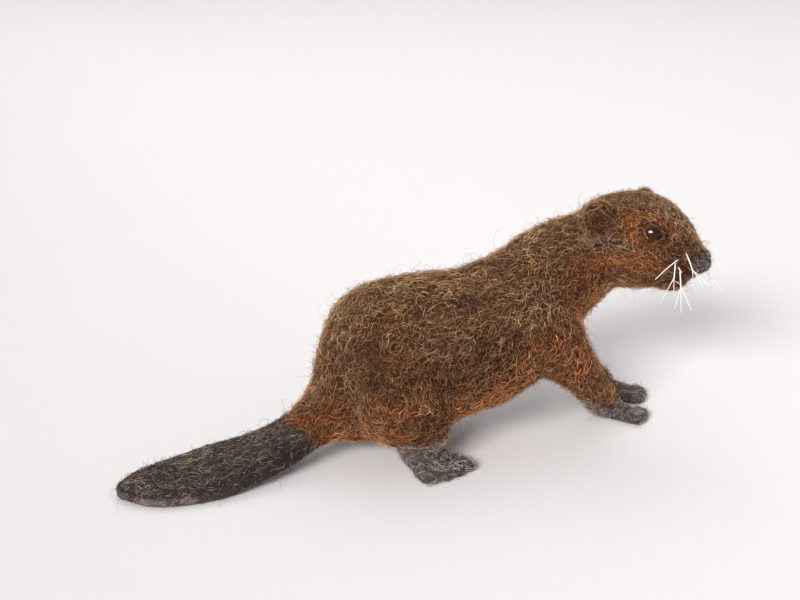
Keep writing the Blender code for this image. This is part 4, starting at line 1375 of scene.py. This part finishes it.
def curve_points(control, per=7):
    c = np.asarray(control, float)
    p = np.vstack([2 * c[0] - c[1], c, 2 * c[-1] - c[-2]])
    out = []
    for i in range(1, len(p) - 2):
        for k in range(per):
            t = k / per
            a, b, q, d = p[i - 1], p[i], p[i + 1], p[i + 2]
            out.append(0.5 * (2 * b + (q - a) * t + (2 * a - 5 * b + 4 * q - d) * t * t + (3 * b - a - 3 * q + d) * t**3))
    out.append(c[-1])
    return np.array(out)


def build_whiskers(mat):
    """Bristles on both cheeks, each a tapered six-sided rod with closed ends; the left cheek mirrors the right."""
    made = []
    for side, s in (("right", 1), ("left", -1)):
        verts, faces, base = [], [], 0
        for i, (line, r0, r1) in enumerate(WHISKERS):
            line = np.array(line) * (1, s, 1)
            if s < 0 and r1 < 0.8 * r0:      # free tips only: a forked stem stays joined to its tines
                line[-1] += RNG.uniform(-0.8, 0.8, 3)
            p = from_head(curve_points(line))
            n = len(p)
            tan = np.gradient(p, axis=0)
            tan = unit(tan)
            ref = np.tile(turned((0.3, 0.2, 1.0)), (n, 1))
            a = unit(np.cross(tan, ref))
            b = np.cross(a, tan)
            r = np.linspace(r0 * 1.03, r1 * 1.02, n)
            for k in range(6):
                w = 2 * math.pi * k / 6
                verts.append(p + (a * math.cos(w) + b * math.sin(w)) * r[:, None])
            for k in range(6):
                k2 = (k + 1) % 6
                for j in range(n - 1):
                    q = (base + k * n + j, base + k2 * n + j, base + k2 * n + j + 1, base + k * n + j + 1)
                    faces += [(q[0], q[2], q[1]), (q[0], q[3], q[2])]
            for k in range(1, 5):
                faces.append((base, base + k * n, base + (k + 1) * n))
                faces.append((base + n - 1, base + (k + 1) * n + n - 1, base + k * n + n - 1))
            base += 6 * n
        obj = mesh_object("whiskers_" + side, np.concatenate(verts), faces, mat)
        bm = bmesh.new()
        bm.from_mesh(obj.data)
        bmesh.ops.recalc_face_normals(bm, faces=bm.faces[:])
        bm.to_mesh(obj.data)
        bm.free()
        made.append(obj)
    return made


# ---------------------------------------------------------------- studio
CAM_AZIMUTH, CAM_ELEVATION, CAM_DISTANCE = -19.5, 20.0, 0.312
CAM_TARGET = (np.array((0.0, 28.5, 25.0)) + OFF) * MM


def add_camera():
    a, e = math.radians(CAM_AZIMUTH), math.radians(CAM_ELEVATION)
    back = Vector((math.sin(a) * math.cos(e), -math.cos(a) * math.cos(e), math.sin(e)))
    cam = bpy.data.cameras.new("camera")
    cam.lens, cam.sensor_width = 56.25, 36.0
    cam.clip_start, cam.clip_end = 0.01, 10.0
    obj = bpy.data.objects.new("camera", cam)
    bpy.context.scene.collection.objects.link(obj)
    obj.location = Vector(CAM_TARGET) + back * CAM_DISTANCE
    obj.rotation_mode = "QUATERNION"
    obj.rotation_quaternion = (-back).to_track_quat("-Z", "Y")
    bpy.context.scene.camera = obj


def area(name, towards, distance, size, watts, colour):
    """A soft square light over the figure, towards a direction from it."""
    light = bpy.data.lights.new(name, "AREA")
    light.shape = "RECTANGLE"
    light.size, light.size_y = size
    light.energy = watts
    light.color = colour
    obj = bpy.data.objects.new(name, light)
    bpy.context.scene.collection.objects.link(obj)
    d = Vector(towards).normalized()
    obj.location = d * distance + Vector((0.0, 0.0, 0.03))
    obj.rotation_euler = (-d).to_track_quat("-Z", "Y").to_euler()
    obj.visible_camera = False
    return obj


def add_studio():
    """A round sweep of pale paper: flat under the figure, curving up to a low wall all round it."""
    mat = floor_material()
    profile = [0.0, 0.12, 0.4, 0.9, 1.5, 2.2]
    profile = [(r, 0.0) for r in profile]
    profile += [(2.2 + 0.5 * math.sin(t), 0.5 - 0.5 * math.cos(t)) for t in np.linspace(0.12, math.pi / 2, 14)]
    profile += [(2.7, 1.1)]
    bm = bmesh.new()
    sides = 96
    rings = []
    for r, z in profile[1:]:
        ring = [2 * math.pi * k / sides for k in range(sides)]
        rings.append([bm.verts.new((r * math.cos(a), r * math.sin(a), z)) for a in ring])
    hub = bm.verts.new((0.0, 0.0, 0.0))
    for k in range(sides):
        k2 = (k + 1) % sides
        bm.faces.new((hub, rings[0][k], rings[0][k2]))
        for a, b in zip(rings, rings[1:]):
            bm.faces.new((a[k], b[k], b[k2], a[k2]))
    me = bpy.data.meshes.new("floor")
    bm.to_mesh(me)
    bm.free()
    for f in me.polygons:
        f.use_smooth = True
    floor = bpy.data.objects.new("floor", me)
    bpy.context.scene.collection.objects.link(floor)
    me.materials.append(mat)
    floor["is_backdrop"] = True
    world = bpy.data.worlds.new("room")
    world.use_nodes = True
    bg = world.node_tree.nodes["Background"]
    bg.inputs[0].default_value = (0.985, 0.965, 1.0, 1.0)
    bg.inputs[1].default_value = 0.385
    bpy.context.scene.world = world
    area("window", (-0.62, -0.62, 0.46), 3.2, (1.32, 0.79), 121.0, (1.0, 0.985, 0.965))
    area("back", (0.25, 0.55, 0.60), 0.85, (0.6, 0.6), 0.5, (1.0, 0.995, 0.99))
    area("far", (0.20, 0.55, 1.0), 1.5, (1.2, 0.9), 3.0, (1.0, 0.995, 0.99))
    view = bpy.context.scene.view_settings
    view.view_transform = "Standard"
    view.look = "None"
    view.exposure = 0.0
    view.gamma = 1.0


def add_glint(beads):
    """A window bright enough to show in the black beads; it lights nothing else."""
    lamp = area("glint", (-0.86, -0.44, 0.50), 0.9, (0.74, 0.42), 78.0, (1.0, 1.0, 1.0))
    lamp.rotation_euler.rotate_axis("Z", 0.75)
    group = bpy.data.collections.new("beads")
    for obj in beads:
        group.objects.link(obj)
    lamp.light_linking.receiver_collection = group


# ---------------------------------------------------------------- build
def main():
    add_camera()
    add_studio()
    felt, fibre = felt_material(), fibre_material()
    skin_obj, v, t, n = build_skin(felt)
    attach(skin_obj, "root")
    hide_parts(*FLESH)
    skin = Surface(v, t, n)
    table = unwrap_table(v, t)
    bundle = build_coat(skin, fibre, table)
    stray_fibres(skin, bundle, table)
    lid_fibres(skin, bundle, table)
    for obj in bundle.pieces(fibre):
        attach(obj, "root")
    bead, beads = bead_material(), []
    for side in ("left", "right"):
        obj = build_eye(side, bead)
        beads.append(obj)
        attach(obj, "root")
        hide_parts("eye_" + side)
    add_glint(beads)
    for obj in build_whiskers(bristle_material()):
        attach(obj, "root")
    total = 0
    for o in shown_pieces():
        o.data.calc_loop_triangles()
        total += len(o.data.loop_triangles)
        print("piece", o.name, len(o.data.loop_triangles))
    print("triangles", total)


main()
